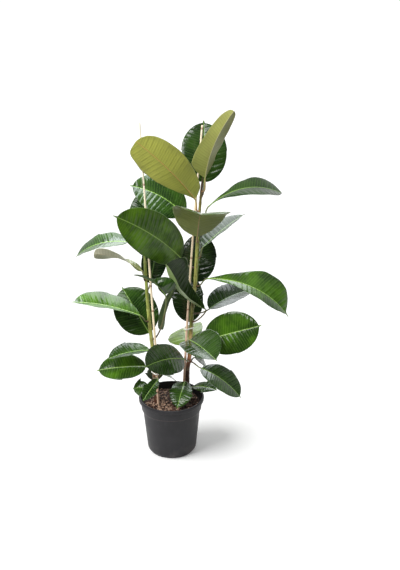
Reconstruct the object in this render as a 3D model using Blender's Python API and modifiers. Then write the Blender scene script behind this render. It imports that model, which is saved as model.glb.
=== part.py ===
"""Potted rubber plant: two staked stems with broad leaves in a black nursery pot.

Run it with: blender --background --python part.py
The frame is +Z up, with the origin on the floor under the middle of the pot. -Y is the front.
All sizes are in metres.
"""

import math
from collections import namedtuple

import bmesh
import bpy
from mathutils import Matrix, Vector

PLANT_NAME = "potted_rubber_plant"
GAP = 0.0004  # clearance between pieces that touch

# ---- pot ------------------------------------------------------------------------------------
POT_HEIGHT = 0.187
RIM_RADIUS = 0.105
WALL = 0.0024
RIM_DROP = 0.012  # height of the rolled lip
COLLAR_HEIGHT = 0.040  # lip and wider collar together
COLLAR_RADIUS = 0.0985
COLLAR_STEP = 0.0022
FOOT_RADIUS = 0.0725
FOOT_WIDTH = 0.010
BASE_ROUNDING = 0.014
BASE_DISC_RADIUS = 0.026  # flat middle of the underside
BASE_LIFT = 0.005  # depth of the drainage groove round it
POT_SIDES = 40
DRAIN_HOLES = 6
DRAIN_RADIUS = 0.006
DRAIN_CIRCLE = 0.044

# ---- soil -----------------------------------------------------------------------------------
SOIL_TOP = 0.166
SOIL_DOME = 0.004
SOIL_SIDES = 40

# ---- leaves ---------------------------------------------------------------------------------
PETIOLE_RADIUS = 0.0022
LEAF_THICKNESS = 0.0016
MIDRIB_DEPTH = 0.0016
DRIP_TIP_SHARE = 0.045  # share of the blade's length that is the thin drip tip
MARGIN_TURN = 0.10  # how far the margins turn down, as a share of the half width
PETIOLE_STEPS = (0.0, 0.3, 0.65)
BLADE_STEPS = (0.0, 0.04, 0.12, 0.26, 0.42, 0.58, 0.74, 0.86, 0.945, 0.985, 1.0)

Stem = namedtuple("Stem", "path radii")
# The way each stem's axis runs, from 40 mm under the soil to the growing point.
STEMS = {
    "left": Stem(
        path=[
            (-0.047, -0.012, 0.125),
            (-0.048, -0.012, 0.165),
            (-0.052, -0.014, 0.270),
            (-0.057, -0.010, 0.365),
            (-0.065, -0.005, 0.450),
            (-0.069, -0.003, 0.520),
            (-0.073, -0.002, 0.615),
            (-0.075, 0.000, 0.700),
            (-0.075, 0.000, 0.725),
        ],
        radii=[0.0072, 0.0070, 0.0064, 0.0060, 0.0056, 0.0052, 0.0046, 0.0038, 0.0012],
    ),
    "right": Stem(
        path=[
            (0.048, 0.049, 0.125),
            (0.049, 0.050, 0.165),
            (0.051, 0.050, 0.255),
            (0.058, 0.050, 0.300),
            (0.062, 0.050, 0.380),
            (0.067, 0.050, 0.465),
            (0.077, 0.050, 0.550),
            (0.082, 0.050, 0.650),
            (0.089, 0.050, 0.770),
            (0.098, 0.050, 0.865),
            (0.100, 0.051, 0.890),
        ],
        radii=[0.0082, 0.0080, 0.0072, 0.0068, 0.0064, 0.0060, 0.0056, 0.0052, 0.0044, 0.0036, 0.0012],
    ),
}

Cane = namedtuple("Cane", "path radius joints")
# Canes bend a little where their ties pull them to the stems. Joints are heights.
CANES = {
    "left": Cane(
        path=[
            (-0.0380, -0.0290, 0.030),
            (-0.0410, -0.0280, 0.165),
            (-0.0465, -0.0240, 0.380),
            (-0.0560, -0.0210, 0.560),
            (-0.0665, -0.0180, 0.810),
            (-0.0775, -0.0150, 1.057),
        ],
        radius=0.0041,
        joints=(0.215, 0.490, 0.571, 0.880),
    ),
    "right": Cane(
        path=[
            (0.0300, 0.0400, 0.030),
            (0.0400, 0.0395, 0.217),
            (0.0490, 0.0395, 0.380),
            (0.0620, 0.0395, 0.590),
            (0.0735, 0.0390, 0.750),
            (0.0985, 0.0500, 1.040),
        ],
        radius=0.0043,
        joints=(0.300, 0.470, 0.640, 0.840, 1.030),
    ),
}
CANE_TOP_SHARE = 0.62  # radius at the top as a share of the radius at the foot
CANE_SWELL = 1.16

Leaf = namedtuple(
    "Leaf",
    "stem node base tip face width bow sweep fold widest twist leave nod reach turns edges",
    defaults=(0.010, 0.0, 10, 0.5, 0, None, 0.0, 0.4, None, None),
)
# stem, node: the stem and the height where the petiole leaves it
# base, tip:  the two ends of the blade's midrib
# face:       the way the upper side looks
# width:      across the blade at its widest, which is at the share widest of its length
# bow, sweep: how far the midrib arches upwards, and bends to the right
# fold:       degrees that each half rises from flat
# twist:      degrees the blade turns from base to tip
# leave:      compass direction in degrees that the petiole sets off in, where it must clear a cane
# nod:        how far the blade's end bends up, or down below nought
# reach:      how strongly the petiole curves, as a share of the way from the stem to the blade
# turns:      (share, degrees) rows, for a blade that doesn't turn evenly
# edges:      (share, left, right) rows with both half widths in mm, for a blade of uneven outline
LEAVES = {
    "right_leaf_tall": Leaf(
        "right", 0.845, (0.107, 0.040, 0.888), (0.186, -0.020, 1.089), (-0.38, 0.88, -0.11), 0.090,
        bow=-0.004, sweep=0.018, fold=36,
        turns=((0, 18), (0.2, 14), (0.5, 2), (0.65, -4), (1, -18)),
        edges=((0, 2, 2), (0.04, 22, 16), (0.1, 38, 34), (0.2, 46, 49), (0.43, 46, 42),
               (0.61, 39, 35), (0.85, 27, 26), (0.95, 18, 17), (0.985, 11, 11), (1, 3, 4))),
    "right_leaf_back": Leaf(
        "right", 0.828, (0.104, 0.070, 0.867), (0.103, 0.140, 1.042), (0.1, -0.9, 0.4), 0.137),
    "right_leaf_gold": Leaf(
        "right", 0.785, (0.077, 0.024, 0.828), (-0.084, -0.075, 1.014), (0.1, 0.92, -0.2), 0.113,
        bow=-0.010, sweep=-0.009, fold=6, leave=230,
        edges=((0, 2, 2), (0.03, 16, 4), (0.1, 36, 12), (0.25, 49, 29), (0.4, 57, 43),
               (0.55, 61, 52), (0.72, 57, 55), (0.85, 48, 48), (0.94, 33, 41), (0.975, 21, 34),
               (0.99, 12, 24), (1, 2, 4))),
    "right_leaf_side": Leaf(
        "right", 0.748, (0.119, 0.055, 0.799), (0.340, 0.090, 0.831), (0, -0.32, 0.94), 0.103,
        bow=0.041, fold=14,
        edges=((0, 2, 2), (0.08, 3, 3), (0.16, 8, 10), (0.25, 14, 22), (0.38, 28, 40),
               (0.52, 40, 55), (0.66, 49, 59), (0.8, 46, 52), (0.9, 34, 38), (0.96, 18, 20),
               (1, 3, 3))),
    "right_leaf_rear_left": Leaf(
        "right", 0.758, (0.044, 0.056, 0.773), (-0.116, 0.045, 0.864), (0.03, -0.77, 0.62), 0.120,
        sweep=0.012),
    "right_leaf_olive": Leaf(
        "right", 0.690, (0.084, 0.024, 0.711), (0.098, -0.140, 0.823), (0.02, 0.35, 0.9), 0.166,
        bow=0.030, fold=16, leave=270,
        turns=((0, 3), (0.4, -6), (1, -6)),
        edges=((0, 2, 2), (0.03, 20, 20), (0.11, 46, 48), (0.27, 66, 74), (0.5, 80, 84),
               (0.7, 88, 80), (0.85, 80, 74), (0.94, 56, 60), (0.98, 36, 40), (1, 4, 4))),
    "right_leaf_grey": Leaf(
        "right", 0.635, (0.101, 0.055, 0.669), (0.234, 0.160, 0.747), (-0.3, -0.04, 0.94), 0.096,
        bow=0.006, fold=24),
    "right_leaf_broad": Leaf(
        "right", 0.605, (0.034, 0.052, 0.634), (-0.150, -0.120, 0.816), (0.12, -0.93, 0.36), 0.134,
        bow=0.012, sweep=0.012, leave=180),
    "right_leaf_shade": Leaf(
        "right", 0.535, (0.083, 0.072, 0.549), (0.092, 0.150, 0.691), (0.1, -0.8, 0.6), 0.110),
    "right_leaf_arching": Leaf(
        "right", 0.545, (0.116, 0.030, 0.576), (0.366, -0.022, 0.474), (0.1, -0.45, 0.9), 0.115,
        bow=0.048, fold=18, nod=-0.008,
        edges=((0, 2, 2), (0.05, 7, 6), (0.14, 18, 14), (0.28, 34, 24), (0.42, 56, 34), (0.56, 72, 42),
               (0.7, 74, 42), (0.81, 66, 34), (0.885, 46, 20), (0.925, 24, 12), (0.95, 5, 5), (1, 0.8, 0.8))),
    "left_leaf_cross": Leaf(
        "left", 0.390, (-0.013, -0.035, 0.547), (-0.102, -0.075, 0.625), (0.3, -0.8, 0.6), 0.060,
        bow=0.004, sweep=0.012, fold=40, leave=5, reach=0.15,
        turns=((0, -20), (0.2, -20), (0.45, 60), (1, 80)),
        edges=((0, 2, 2), (0.04, 4, 34), (0.12, 7, 54), (0.2, 8, 58), (0.28, 9, 44), (0.36, 9, 28),
               (0.45, 9, 17), (0.6, 8, 12), (0.8, 7, 9), (0.92, 5, 5), (1, 1, 1))),
    "right_leaf_under": Leaf(
        "right", 0.450, (0.121, 0.070, 0.459), (0.257, 0.170, 0.486), (-0.2, -0.4, 0.9), 0.105,
        bow=0.012, fold=24),
    "right_leaf_upturned": Leaf(
        "right", 0.425, (0.108, 0.018, 0.480), (-0.008, -0.060, 0.654), (0.60, -0.37, 0.71), 0.110,
        bow=-0.029, fold=50, reach=0.2,
        edges=((0, 2, 2), (0.05, 17, 14), (0.2, 42, 32), (0.35, 48, 44), (0.5, 46, 58), (0.65, 44, 74),
               (0.78, 40, 84), (0.88, 33, 80), (0.95, 22, 58), (0.985, 12, 32), (1, 3, 4))),
    "right_leaf_rear": Leaf(
        "right", 0.398, (0.060, 0.072, 0.413), (0.044, 0.140, 0.559), (0, -0.8, 0.5), 0.100),
    "right_leaf_oval": Leaf(
        "right", 0.345, (0.105, 0.030, 0.368), (0.285, 0.020, 0.424), (0.1, -0.85, 0.5), 0.132,
        bow=0.008, fold=6),
    "right_leaf_folded": Leaf(
        "right", 0.362, (0.060, 0.018, 0.374), (0.143, -0.130, 0.373), (-0.15, -0.35, 0.93), 0.134,
        fold=30, leave=275),
    "right_leaf_yellow": Leaf(
        "right", 0.330, (0.060, 0.080, 0.334), (0.035, 0.205, 0.336), (-0.36, -0.14, 0.9), 0.124,
        bow=0.014, fold=6),
    "right_leaf_front_left": Leaf(
        "right", 0.290, (0.041, 0.014, 0.310), (-0.075, -0.115, 0.344), (0, -0.75, 0.65), 0.108,
        bow=0.010, sweep=0.008, fold=8, leave=265),
    "right_leaf_low_rear": Leaf(
        "right", 0.275, (0.075, 0.075, 0.285), (0.115, 0.110, 0.235), (0.4, -0.2, 0.8), 0.055,
        bow=0.006),
    "right_leaf_low_right": Leaf(
        "right", 0.285, (0.095, 0.030, 0.270), (0.223, -0.020, 0.189), (0.35, -0.38, 0.85), 0.100,
        bow=0.016, fold=14),
    "right_leaf_small": Leaf(
        "right", 0.188, (0.068, 0.040, 0.197), (0.147, 0.000, 0.206), (0, -0.3, 0.95), 0.045,
        bow=0.008),
    "right_leaf_over_rim": Leaf(
        "right", 0.212, (0.042, 0.018, 0.226), (0.020, -0.070, 0.178), (0, -0.8, 0.6), 0.068,
        bow=0.016, leave=275),
    "left_leaf_crown": Leaf(
        "left", 0.690, (-0.072, 0.014, 0.712), (-0.058, 0.120, 0.845), (0, -0.9, 0.4), 0.112,
        bow=-0.006, leave=95),
    "left_leaf_drooping": Leaf(
        "left", 0.675, (-0.124, 0.010, 0.700), (-0.287, 0.030, 0.646), (0, -0.25, 0.95), 0.088,
        bow=0.022, fold=16, widest=0.45),
    "left_leaf_khaki": Leaf(
        "left", 0.585, (-0.082, -0.020, 0.618), (-0.219, -0.050, 0.681), (-0.03, 0.31, 0.95), 0.054,
        bow=0.014, fold=12,
        turns=((0, -51), (1, 59)),
        edges=((0, 2, 2), (0.08, 14, 14), (0.25, 24, 24), (0.45, 27, 27), (0.65, 27, 27),
               (0.85, 24, 23), (0.95, 19, 18), (0.985, 13, 13), (1, 3, 5))),
    "left_leaf_rear": Leaf(
        "left", 0.550, (-0.061, 0.018, 0.564), (-0.031, 0.080, 0.711), (0, -0.85, 0.5), 0.080,
        bow=0.006),
    "left_leaf_long": Leaf(
        "left", 0.450, (-0.091, -0.030, 0.478), (-0.295, -0.050, 0.530), (0, -0.08, 1.0), 0.118,
        bow=0.012, fold=24, widest=0.54),
    "left_leaf_broad": Leaf(
        "left", 0.385, (-0.067, 0.014, 0.400), (-0.154, 0.070, 0.534), (0, -0.85, 0.5), 0.135,
        bow=0.008),
    "right_leaf_inner": Leaf(
        "right", 0.510, (0.019, 0.028, 0.560), (-0.024, 0.018, 0.411), (-0.6, 0.5, 0.4), 0.045,
        bow=0.004, sweep=-0.020, fold=20, leave=262,
        edges=((0, 2, 2), (0.1, 8, 25), (0.2, 11, 33), (0.35, 14, 36), (0.5, 15, 32), (0.7, 18, 22),
               (0.85, 20, 18), (0.95, 15, 13), (1, 2, 2))),
    "left_leaf_folded": Leaf(
        "left", 0.352, (-0.063, -0.036, 0.364), (-0.193, -0.070, 0.350), (0, -0.1, 1.0), 0.080,
        bow=0.009, fold=24),
    "left_leaf_lowest": Leaf(
        "left", 0.295, (-0.078, -0.020, 0.302), (-0.230, -0.040, 0.296), (0, -0.6, 0.8), 0.088,
        bow=0.010),
    "left_leaf_rear_small": Leaf(
        "left", 0.285, (-0.055, 0.012, 0.280), (-0.055, 0.040, 0.215), (0, 0.8, 0.5), 0.048,
        bow=0.006),
    "left_leaf_round": Leaf(
        "left", 0.220, (-0.070, -0.030, 0.230), (-0.120, -0.030, 0.228), (-0.3, -0.6, 0.7), 0.045,
        bow=0.006),
    "left_leaf_narrow": Leaf(
        "left", 0.262, (-0.040, -0.046, 0.268), (-0.084, -0.105, 0.225), (0.3, -0.3, 0.8), 0.040,
        bow=0.006, fold=30, leave=252),
    "left_leaf_short": Leaf(
        "left", 0.245, (-0.029, 0.002, 0.262), (0.016, 0.032, 0.218), (0.3, 0.1, 0.9), 0.034,
        bow=0.006),
}

Tie = namedtuple("Tie", "stem height")
TIES = {"tie_left": Tie("left", 0.280), "tie_right": Tie("right", 0.405)}
TIE_WIRE_RADIUS = 0.0014
TIE_SIDES = 18

# Colours as linear red, green, blue; then roughness.
FINISHES = {
    "pot_plastic": ((0.030, 0.029, 0.032), 0.45),
    "soil": ((0.070, 0.042, 0.026), 0.95),
    "stem_bark": ((0.180, 0.150, 0.050), 0.60),
    "bamboo": ((0.560, 0.440, 0.260), 0.55),
    "tie_plastic": ((0.780, 0.780, 0.740), 0.35),
    "leaf": ((0.030, 0.110, 0.018), 0.25),
}


def clear_scene():
    for thing in list(bpy.data.objects):
        bpy.data.objects.remove(thing, do_unlink=True)


def make_materials():
    """One Principled material for each finish."""
    made = {}
    for name, (colour, roughness) in FINISHES.items():
        material = bpy.data.materials.new(name)
        material.use_nodes = True
        shader = material.node_tree.nodes["Principled BSDF"]
        shader.inputs["Base Color"].default_value = (*colour, 1.0)
        shader.inputs["Roughness"].default_value = roughness
        shader.inputs["Metallic"].default_value = 0.0
        made[name] = material
    return made


def add_object(name, data, collection, material=None):
    thing = bpy.data.objects.new(name, data)
    collection.objects.link(thing)
    if material is not None:
        data.materials.append(material)
    return thing


def turned(name, profile, sides, collection, material):
    """A solid turned about Z from (radius, height) points that run up the inside and down the outside."""
    mesh = bpy.data.meshes.new(name)
    points = [(radius, 0, height) for radius, height in profile]
    mesh.from_pydata(points, [(i, i + 1) for i in range(len(points) - 1)], [])
    thing = add_object(name, mesh, collection, material)
    screw = thing.modifiers.new("turn", "SCREW")
    screw.steps = sides
    screw.render_steps = sides
    screw.use_merge_vertices = True
    screw.merge_threshold = 0.0001
    screw.use_smooth_shade = False
    return thing


def arc(centre, radius, start, end, steps):
    """Points on an arc in the (radius, height) plane, with angles in degrees."""
    points = []
    for i in range(steps + 1):
        angle = math.radians(start + (end - start) * i / steps)
        points.append((centre[0] + radius * math.cos(angle), centre[1] + radius * math.sin(angle)))
    return points


def wall_radius(height):
    """Outer radius of the tapering wall below the collar."""
    share = height / (POT_HEIGHT - COLLAR_HEIGHT)
    foot = FOOT_RADIUS + 0.006
    return foot + (COLLAR_RADIUS - COLLAR_STEP - 0.004 - foot) * share


def make_pot(collection, cutters, material):
    """Tapered pot with a rolled lip, a stepped collar, a rounded foot and a pierced floor."""
    collar_foot = POT_HEIGHT - COLLAR_HEIGHT
    lip = POT_HEIGHT - RIM_DROP
    inner_floor = BASE_LIFT + WALL
    inside = [
        (0.0, inner_floor),
        (FOOT_RADIUS - FOOT_WIDTH * 0.3, inner_floor),
        (wall_radius(0.020) - WALL, 0.020),
        (wall_radius(collar_foot) - WALL, collar_foot),
        (COLLAR_RADIUS - 0.004 - WALL, collar_foot + 0.003),
        (COLLAR_RADIUS - WALL, lip),
        (COLLAR_RADIUS + 0.0005, POT_HEIGHT - 0.002),
    ]
    rim = arc((RIM_RADIUS - 0.004, POT_HEIGHT - 0.004), 0.004, 100, -20, 4)
    outside = [
        (RIM_RADIUS - 0.0006, lip),
        (COLLAR_RADIUS + 0.0012, lip - 0.003),
        (COLLAR_RADIUS - 0.0020, collar_foot + 0.001),
        (wall_radius(collar_foot), collar_foot - 0.001),
    ]
    corner = arc(
        (wall_radius(BASE_ROUNDING) - BASE_ROUNDING, BASE_ROUNDING), BASE_ROUNDING, -5, -65, 3
    )
    foot = [
        (FOOT_RADIUS, 0.0),
        (FOOT_RADIUS - FOOT_WIDTH, 0.0),
        (FOOT_RADIUS - FOOT_WIDTH - 0.002, BASE_LIFT),
        (BASE_DISC_RADIUS + 0.002, BASE_LIFT),
        (BASE_DISC_RADIUS, 0.0),
        (0.0, 0.0),
    ]
    pot = turned("pot", inside + rim + outside + corner + foot, POT_SIDES, collection, material)
    for i in range(DRAIN_HOLES):
        angle = 2 * math.pi * (i + 0.53) / DRAIN_HOLES
        bpy.ops.mesh.primitive_cylinder_add(
            vertices=12,
            radius=DRAIN_RADIUS,
            depth=0.02,
            location=(DRAIN_CIRCLE * math.cos(angle), DRAIN_CIRCLE * math.sin(angle), BASE_LIFT),
        )
        cut_with(pot, bpy.context.object, cutters, f"drain_cutter_{i + 1}")
    return pot


def cut_with(thing, cutter, cutters, name):
    """Takes the cutter's shape out of thing, and files the cutter away."""
    cutter.name = name
    for owner in list(cutter.users_collection):
        owner.objects.unlink(cutter)
    cutters.objects.link(cutter)
    cutter.hide_render = True
    cutter.display_type = "WIRE"
    cut = thing.modifiers.new(name, "BOOLEAN")
    cut.operation = "DIFFERENCE"
    cut.object = cutter


def make_soil(collection, cutters, material):
    """The potting mix, which fills the pot and has sockets for the stems and canes."""
    collar_foot = POT_HEIGHT - COLLAR_HEIGHT
    clear = WALL + GAP
    floor = BASE_LIFT + WALL + GAP
    profile = [(0.0, SOIL_TOP + SOIL_DOME), (0.05, SOIL_TOP + SOIL_DOME * 0.7)]
    profile += [
        (COLLAR_RADIUS - 0.0035 - clear, SOIL_TOP),
        (COLLAR_RADIUS - 0.0055 - clear, collar_foot + 0.004),
        (wall_radius(collar_foot) - clear - 0.0004, collar_foot - 0.003),
        (wall_radius(0.021) - clear - 0.0004, 0.021),
        (FOOT_RADIUS - FOOT_WIDTH * 0.3 - 0.002, floor),
        (0.0, floor),
    ]
    soil = turned("soil", profile, SOIL_SIDES, collection, material)
    for side in ("left", "right"):
        stem = STEMS[side]
        foot = Vector(stem.path[0]) - Vector((0, 0, GAP))
        socket = tube_curve(
            f"stem_socket_{side}", [foot, *stem.path[1:3]], [r + GAP for r in stem.radii[:3]], 2
        )
        cut_with(soil, curve_to_mesh(socket, cutters), cutters, f"stem_cutter_{side}")
        cane = CANES[side]
        foot = Vector(cane.path[0]) - Vector((0, 0, GAP))
        socket = tube_curve(
            f"cane_socket_{side}", [foot, *cane.path[1:3]], [cane.radius + GAP] * 3, 2
        )
        cut_with(soil, curve_to_mesh(socket, cutters), cutters, f"cane_cutter_{side}")
    return soil


def tube_curve(name, points, radii, resolution, cyclic=False):
    """A curve object of round section through the points, with a radius at each."""
    curve = bpy.data.curves.new(name, "CURVE")
    curve.dimensions = "3D"
    curve.bevel_depth = 1.0
    curve.bevel_resolution = resolution
    curve.use_fill_caps = not cyclic
    spline = curve.splines.new("POLY")
    spline.points.add(len(points) - 1)
    spline.use_cyclic_u = cyclic
    for point, place, radius in zip(spline.points, points, radii):
        point.co = (*place, 1.0)
        point.radius = radius
    return bpy.data.objects.new(name, curve)


def curve_to_mesh(thing, collection):
    """A mesh copy of a curve object, with its caps welded on."""
    collection.objects.link(thing)
    bpy.context.view_layer.update()
    graph = bpy.context.evaluated_depsgraph_get()
    mesh = bpy.data.meshes.new_from_object(thing.evaluated_get(graph))
    shape = bmesh.new()
    shape.from_mesh(mesh)
    bmesh.ops.remove_doubles(shape, verts=shape.verts, dist=0.00001)
    bmesh.ops.recalc_face_normals(shape, faces=shape.faces)
    shape.to_mesh(mesh)
    shape.free()
    solid = bpy.data.objects.new(thing.name, mesh)
    solid.matrix_world = thing.matrix_world
    collection.objects.link(solid)
    bpy.data.objects.remove(thing, do_unlink=True)
    return solid


def stem_at(side, height):
    """The stem's axis point and radius at a height."""
    stem = STEMS[side]
    return along_path(stem.path, stem.radii, height)


def make_stem(side, collection, material):
    stem = STEMS[side]
    thing = tube_curve(f"stem_{side}", stem.path, stem.radii, 2)
    collection.objects.link(thing)
    thing.data.materials.append(material)
    return thing


def along_path(path, values, height):
    """The point at a height on a path that climbs, and the value there of a list that goes with it."""
    for low, high, at_low, at_high in zip(path, path[1:], values, values[1:]):
        if low[2] <= height <= high[2]:
            share = (height - low[2]) / (high[2] - low[2])
            return Vector(low).lerp(Vector(high), share), at_low + (at_high - at_low) * share
    raise ValueError(f"nothing at {height} m")


def cane_at(side, height):
    """The cane's axis point and radius at a height."""
    cane = CANES[side]
    foot, top = cane.path[0][2], cane.path[-1][2]
    radii = [
        cane.radius * (1 + (CANE_TOP_SHARE - 1) * (point[2] - foot) / (top - foot))
        for point in cane.path
    ]
    return along_path(cane.path, radii, height)


def make_cane(side, collection, material):
    """A bamboo cane that thins towards its top and swells a little at its joints."""
    cane = CANES[side]
    swell = {point[2]: 1.0 for point in cane.path}
    for joint in cane.joints:
        swell.update({joint - 0.004: 1.0, joint: CANE_SWELL, joint + 0.004: 1.0})
    points, radii = [], []
    for height in sorted(swell):
        point, radius = cane_at(side, height)
        points.append(point)
        radii.append(radius * swell[height])
    thing = tube_curve(f"cane_{side}", points, radii, 2)
    collection.objects.link(thing)
    thing.data.materials.append(material)
    return thing


def make_tie(name, tie, collection, material):
    """A plastic ring clip that goes round the stem and its cane."""
    stem, stem_radius = stem_at(tie.stem, tie.height)
    cane, cane_radius = cane_at(tie.stem, tie.height)
    middle = (stem + cane) / 2
    along = (stem - cane).normalized()
    across = Vector((0, 0, 1)).cross(along).normalized()
    reach = max(stem_radius, cane_radius) + TIE_WIRE_RADIUS + 0.0006
    half = (stem - cane).length / 2
    points = []
    for i in range(TIE_SIDES):
        angle = 2 * math.pi * (i + 0.5) / TIE_SIDES
        shift = half if math.cos(angle) > 0 else -half
        points.append(
            middle + along * (shift + reach * math.cos(angle)) + across * reach * math.sin(angle)
        )
    thing = tube_curve(name, points, [TIE_WIRE_RADIUS] * TIE_SIDES, 1, cyclic=True)
    collection.objects.link(thing)
    thing.data.materials.append(material)
    return thing


def eased(places, values, share):
    """The value at a share on a smooth curve through the values that never swings past them."""
    if share <= places[0]:
        return values[0]
    if share >= places[-1]:
        return values[-1]
    climbs = [(b - a) / (q - p) for p, q, a, b in zip(places, places[1:], values, values[1:])]
    slopes = [climbs[0]]
    for before, after in zip(climbs, climbs[1:]):
        slopes.append(2 * before * after / (before + after) if before * after > 0 else 0.0)
    slopes.append(climbs[-1])
    i = max(k for k, place in enumerate(places) if place <= share)
    gap = places[i + 1] - places[i]
    t = (share - places[i]) / gap
    start = (1 + 2 * t) * values[i] + t * gap * slopes[i]
    end = (3 - 2 * t) * values[i + 1] - (1 - t) * gap * slopes[i + 1]
    return (1 - t) ** 2 * start + t**2 * end


def turn_at(leaf, share):
    """Degrees that the blade is turned about its midrib at a share of its length."""
    if leaf.turns is None:
        return leaf.twist * (share - 0.5)
    return eased([row[0] for row in leaf.turns], [row[1] for row in leaf.turns], share)


def midrib(leaf, share):
    """Point, direction, right side and upward normal at a share of the blade's length."""
    base, tip = Vector(leaf.base), Vector(leaf.tip)
    chord = tip - base
    up = (Vector(leaf.face) - chord * Vector(leaf.face).dot(chord) / chord.length_squared).normalized()
    right = chord.cross(up).normalized()
    lift, slope = 4 * share * (1 - share), 4 * (1 - 2 * share)
    end = max(0.0, (share - 0.7) / 0.3)
    point = base + chord * share + up * (leaf.bow * lift + leaf.nod * end**2) + right * leaf.sweep * lift
    climb = leaf.bow * slope + leaf.nod * 2 * end / 0.3
    along = (chord + up * climb + right * leaf.sweep * slope).normalized()
    normal = (up - along * up.dot(along)).normalized()
    normal = Matrix.Rotation(math.radians(turn_at(leaf, share)), 3, along) @ normal
    return point, along, along.cross(normal), normal


def half_widths(leaf, share):
    """Widths of the left and right halves: an oblong ellipse with a drip tip, or the given edges."""
    if leaf.edges is not None:
        places = [row[0] for row in leaf.edges]
        return [eased(places, [row[k] / 1000 for row in leaf.edges], share) for k in (1, 2)]
    body_end = 1 - DRIP_TIP_SHARE
    tip_width = 0.0035 * (1.02 - share) / (DRIP_TIP_SHARE + 0.02) + 0.0005
    if share >= body_end:
        return [tip_width, tip_width]
    place = (share / body_end) ** (math.log(0.5) / math.log(leaf.widest))
    body = leaf.width / 2 * (1 - abs(2 * place - 1) ** 2.3) ** 0.6
    half = max(body, PETIOLE_RADIUS if share < 0.5 else tip_width)
    return [half, half]


def blade_ring(leaf, share):
    """Eight points round the blade: left margin, over the top, right margin, back underneath."""
    point, _, right, normal = midrib(leaf, share)
    left_half, right_half = half_widths(leaf, share)
    fold = math.radians(leaf.fold)
    thick = LEAF_THICKNESS / 2
    rib = thick + MIDRIB_DEPTH * (1 - 0.7 * share)
    ring = []
    for across, lift in (
        (-1.0, 0.0), (-0.5, thick), (0.0, thick), (0.5, thick),
        (1.0, 0.0), (0.5, -thick), (0.0, -rib), (-0.5, -thick),
    ):
        out = abs(across)
        half = left_half if across < 0 else right_half
        rise = half * (out * math.sin(fold) - MARGIN_TURN * out * out) + lift
        ring.append(point + right * across * half * math.cos(fold) + normal * rise)
    return ring


def petiole_rings(leaf):
    """Rings along the leaf's stalk, from the stem to the base of the blade."""
    axis, stem_radius = stem_at(leaf.stem, leaf.node)
    base, along, _, normal = midrib(leaf, 0.0)
    out = base - axis
    angle = math.atan2(out.y, out.x) if leaf.leave is None else math.radians(leaf.leave)
    out = Vector((math.cos(angle), math.sin(angle), 0))
    start = axis + out * (stem_radius + GAP)
    reach = (base - start).length * leaf.reach
    handles = [start, start + out * reach, base - along * reach, base]
    rings = []
    for share in reversed(PETIOLE_STEPS):
        rest = 1 - share
        place = (
            handles[0] * rest**3
            + handles[1] * 3 * rest**2 * share
            + handles[2] * 3 * rest * share**2
            + handles[3] * share**3
        )
        heading = (
            (handles[1] - handles[0]) * rest**2
            + (handles[2] - handles[1]) * 2 * rest * share
            + (handles[3] - handles[2]) * share**2
        ).normalized()
        normal = (normal - heading * normal.dot(heading)).normalized()
        side = heading.cross(normal)
        radius = PETIOLE_RADIUS * (1.0 + 0.25 * rest)
        rings.append([
            place
            + side * radius * math.cos(math.radians(180 - 45 * i))
            + normal * radius * math.sin(math.radians(180 - 45 * i))
            for i in range(8)
        ])
    rings.reverse()
    return start, rings


def make_leaf(name, leaf, collection, material):
    """One leaf with its stalk, lofted from the round stalk to the flat blade."""
    start, rings = petiole_rings(leaf)
    rings += [blade_ring(leaf, share) for share in BLADE_STEPS]
    shape = bmesh.new()
    loops = [[shape.verts.new(point - start) for point in ring] for ring in rings]
    for near, far in zip(loops, loops[1:]):
        for i in range(8):
            j = (i + 1) % 8
            # Top and underside are split along the same diagonal, so a twisted blade keeps its thickness.
            if i < 4:
                shape.faces.new((near[i], near[j], far[j]))
                shape.faces.new((near[i], far[j], far[i]))
            else:
                shape.faces.new((near[i], near[j], far[i]))
                shape.faces.new((near[j], far[j], far[i]))
    shape.faces.new(loops[0])
    shape.faces.new(loops[-1])
    bmesh.ops.recalc_face_normals(shape, faces=shape.faces)
    mesh = bpy.data.meshes.new(name)
    shape.to_mesh(mesh)
    shape.free()
    mesh.shade_smooth()
    thing = add_object(name, mesh, collection, material)
    thing.location = start
    return thing


def main():
    clear_scene()
    materials = make_materials()
    plant = bpy.data.collections.new(PLANT_NAME)
    cutters = bpy.data.collections.new("cutters")
    bpy.context.scene.collection.children.link(plant)
    bpy.context.scene.collection.children.link(cutters)
    cutters.hide_render = True
    make_pot(plant, cutters, materials["pot_plastic"])
    make_soil(plant, cutters, materials["soil"])
    for side in ("left", "right"):
        make_stem(side, plant, materials["stem_bark"])
        make_cane(side, plant, materials["bamboo"])
    for name, tie in TIES.items():
        make_tie(name, tie, plant, materials["tie_plastic"])
    for name, leaf in LEAVES.items():
        make_leaf(name, leaf, plant, materials["leaf"])


main()
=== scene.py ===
import math

import bpy
import numpy as np
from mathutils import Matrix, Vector, noise


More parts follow.
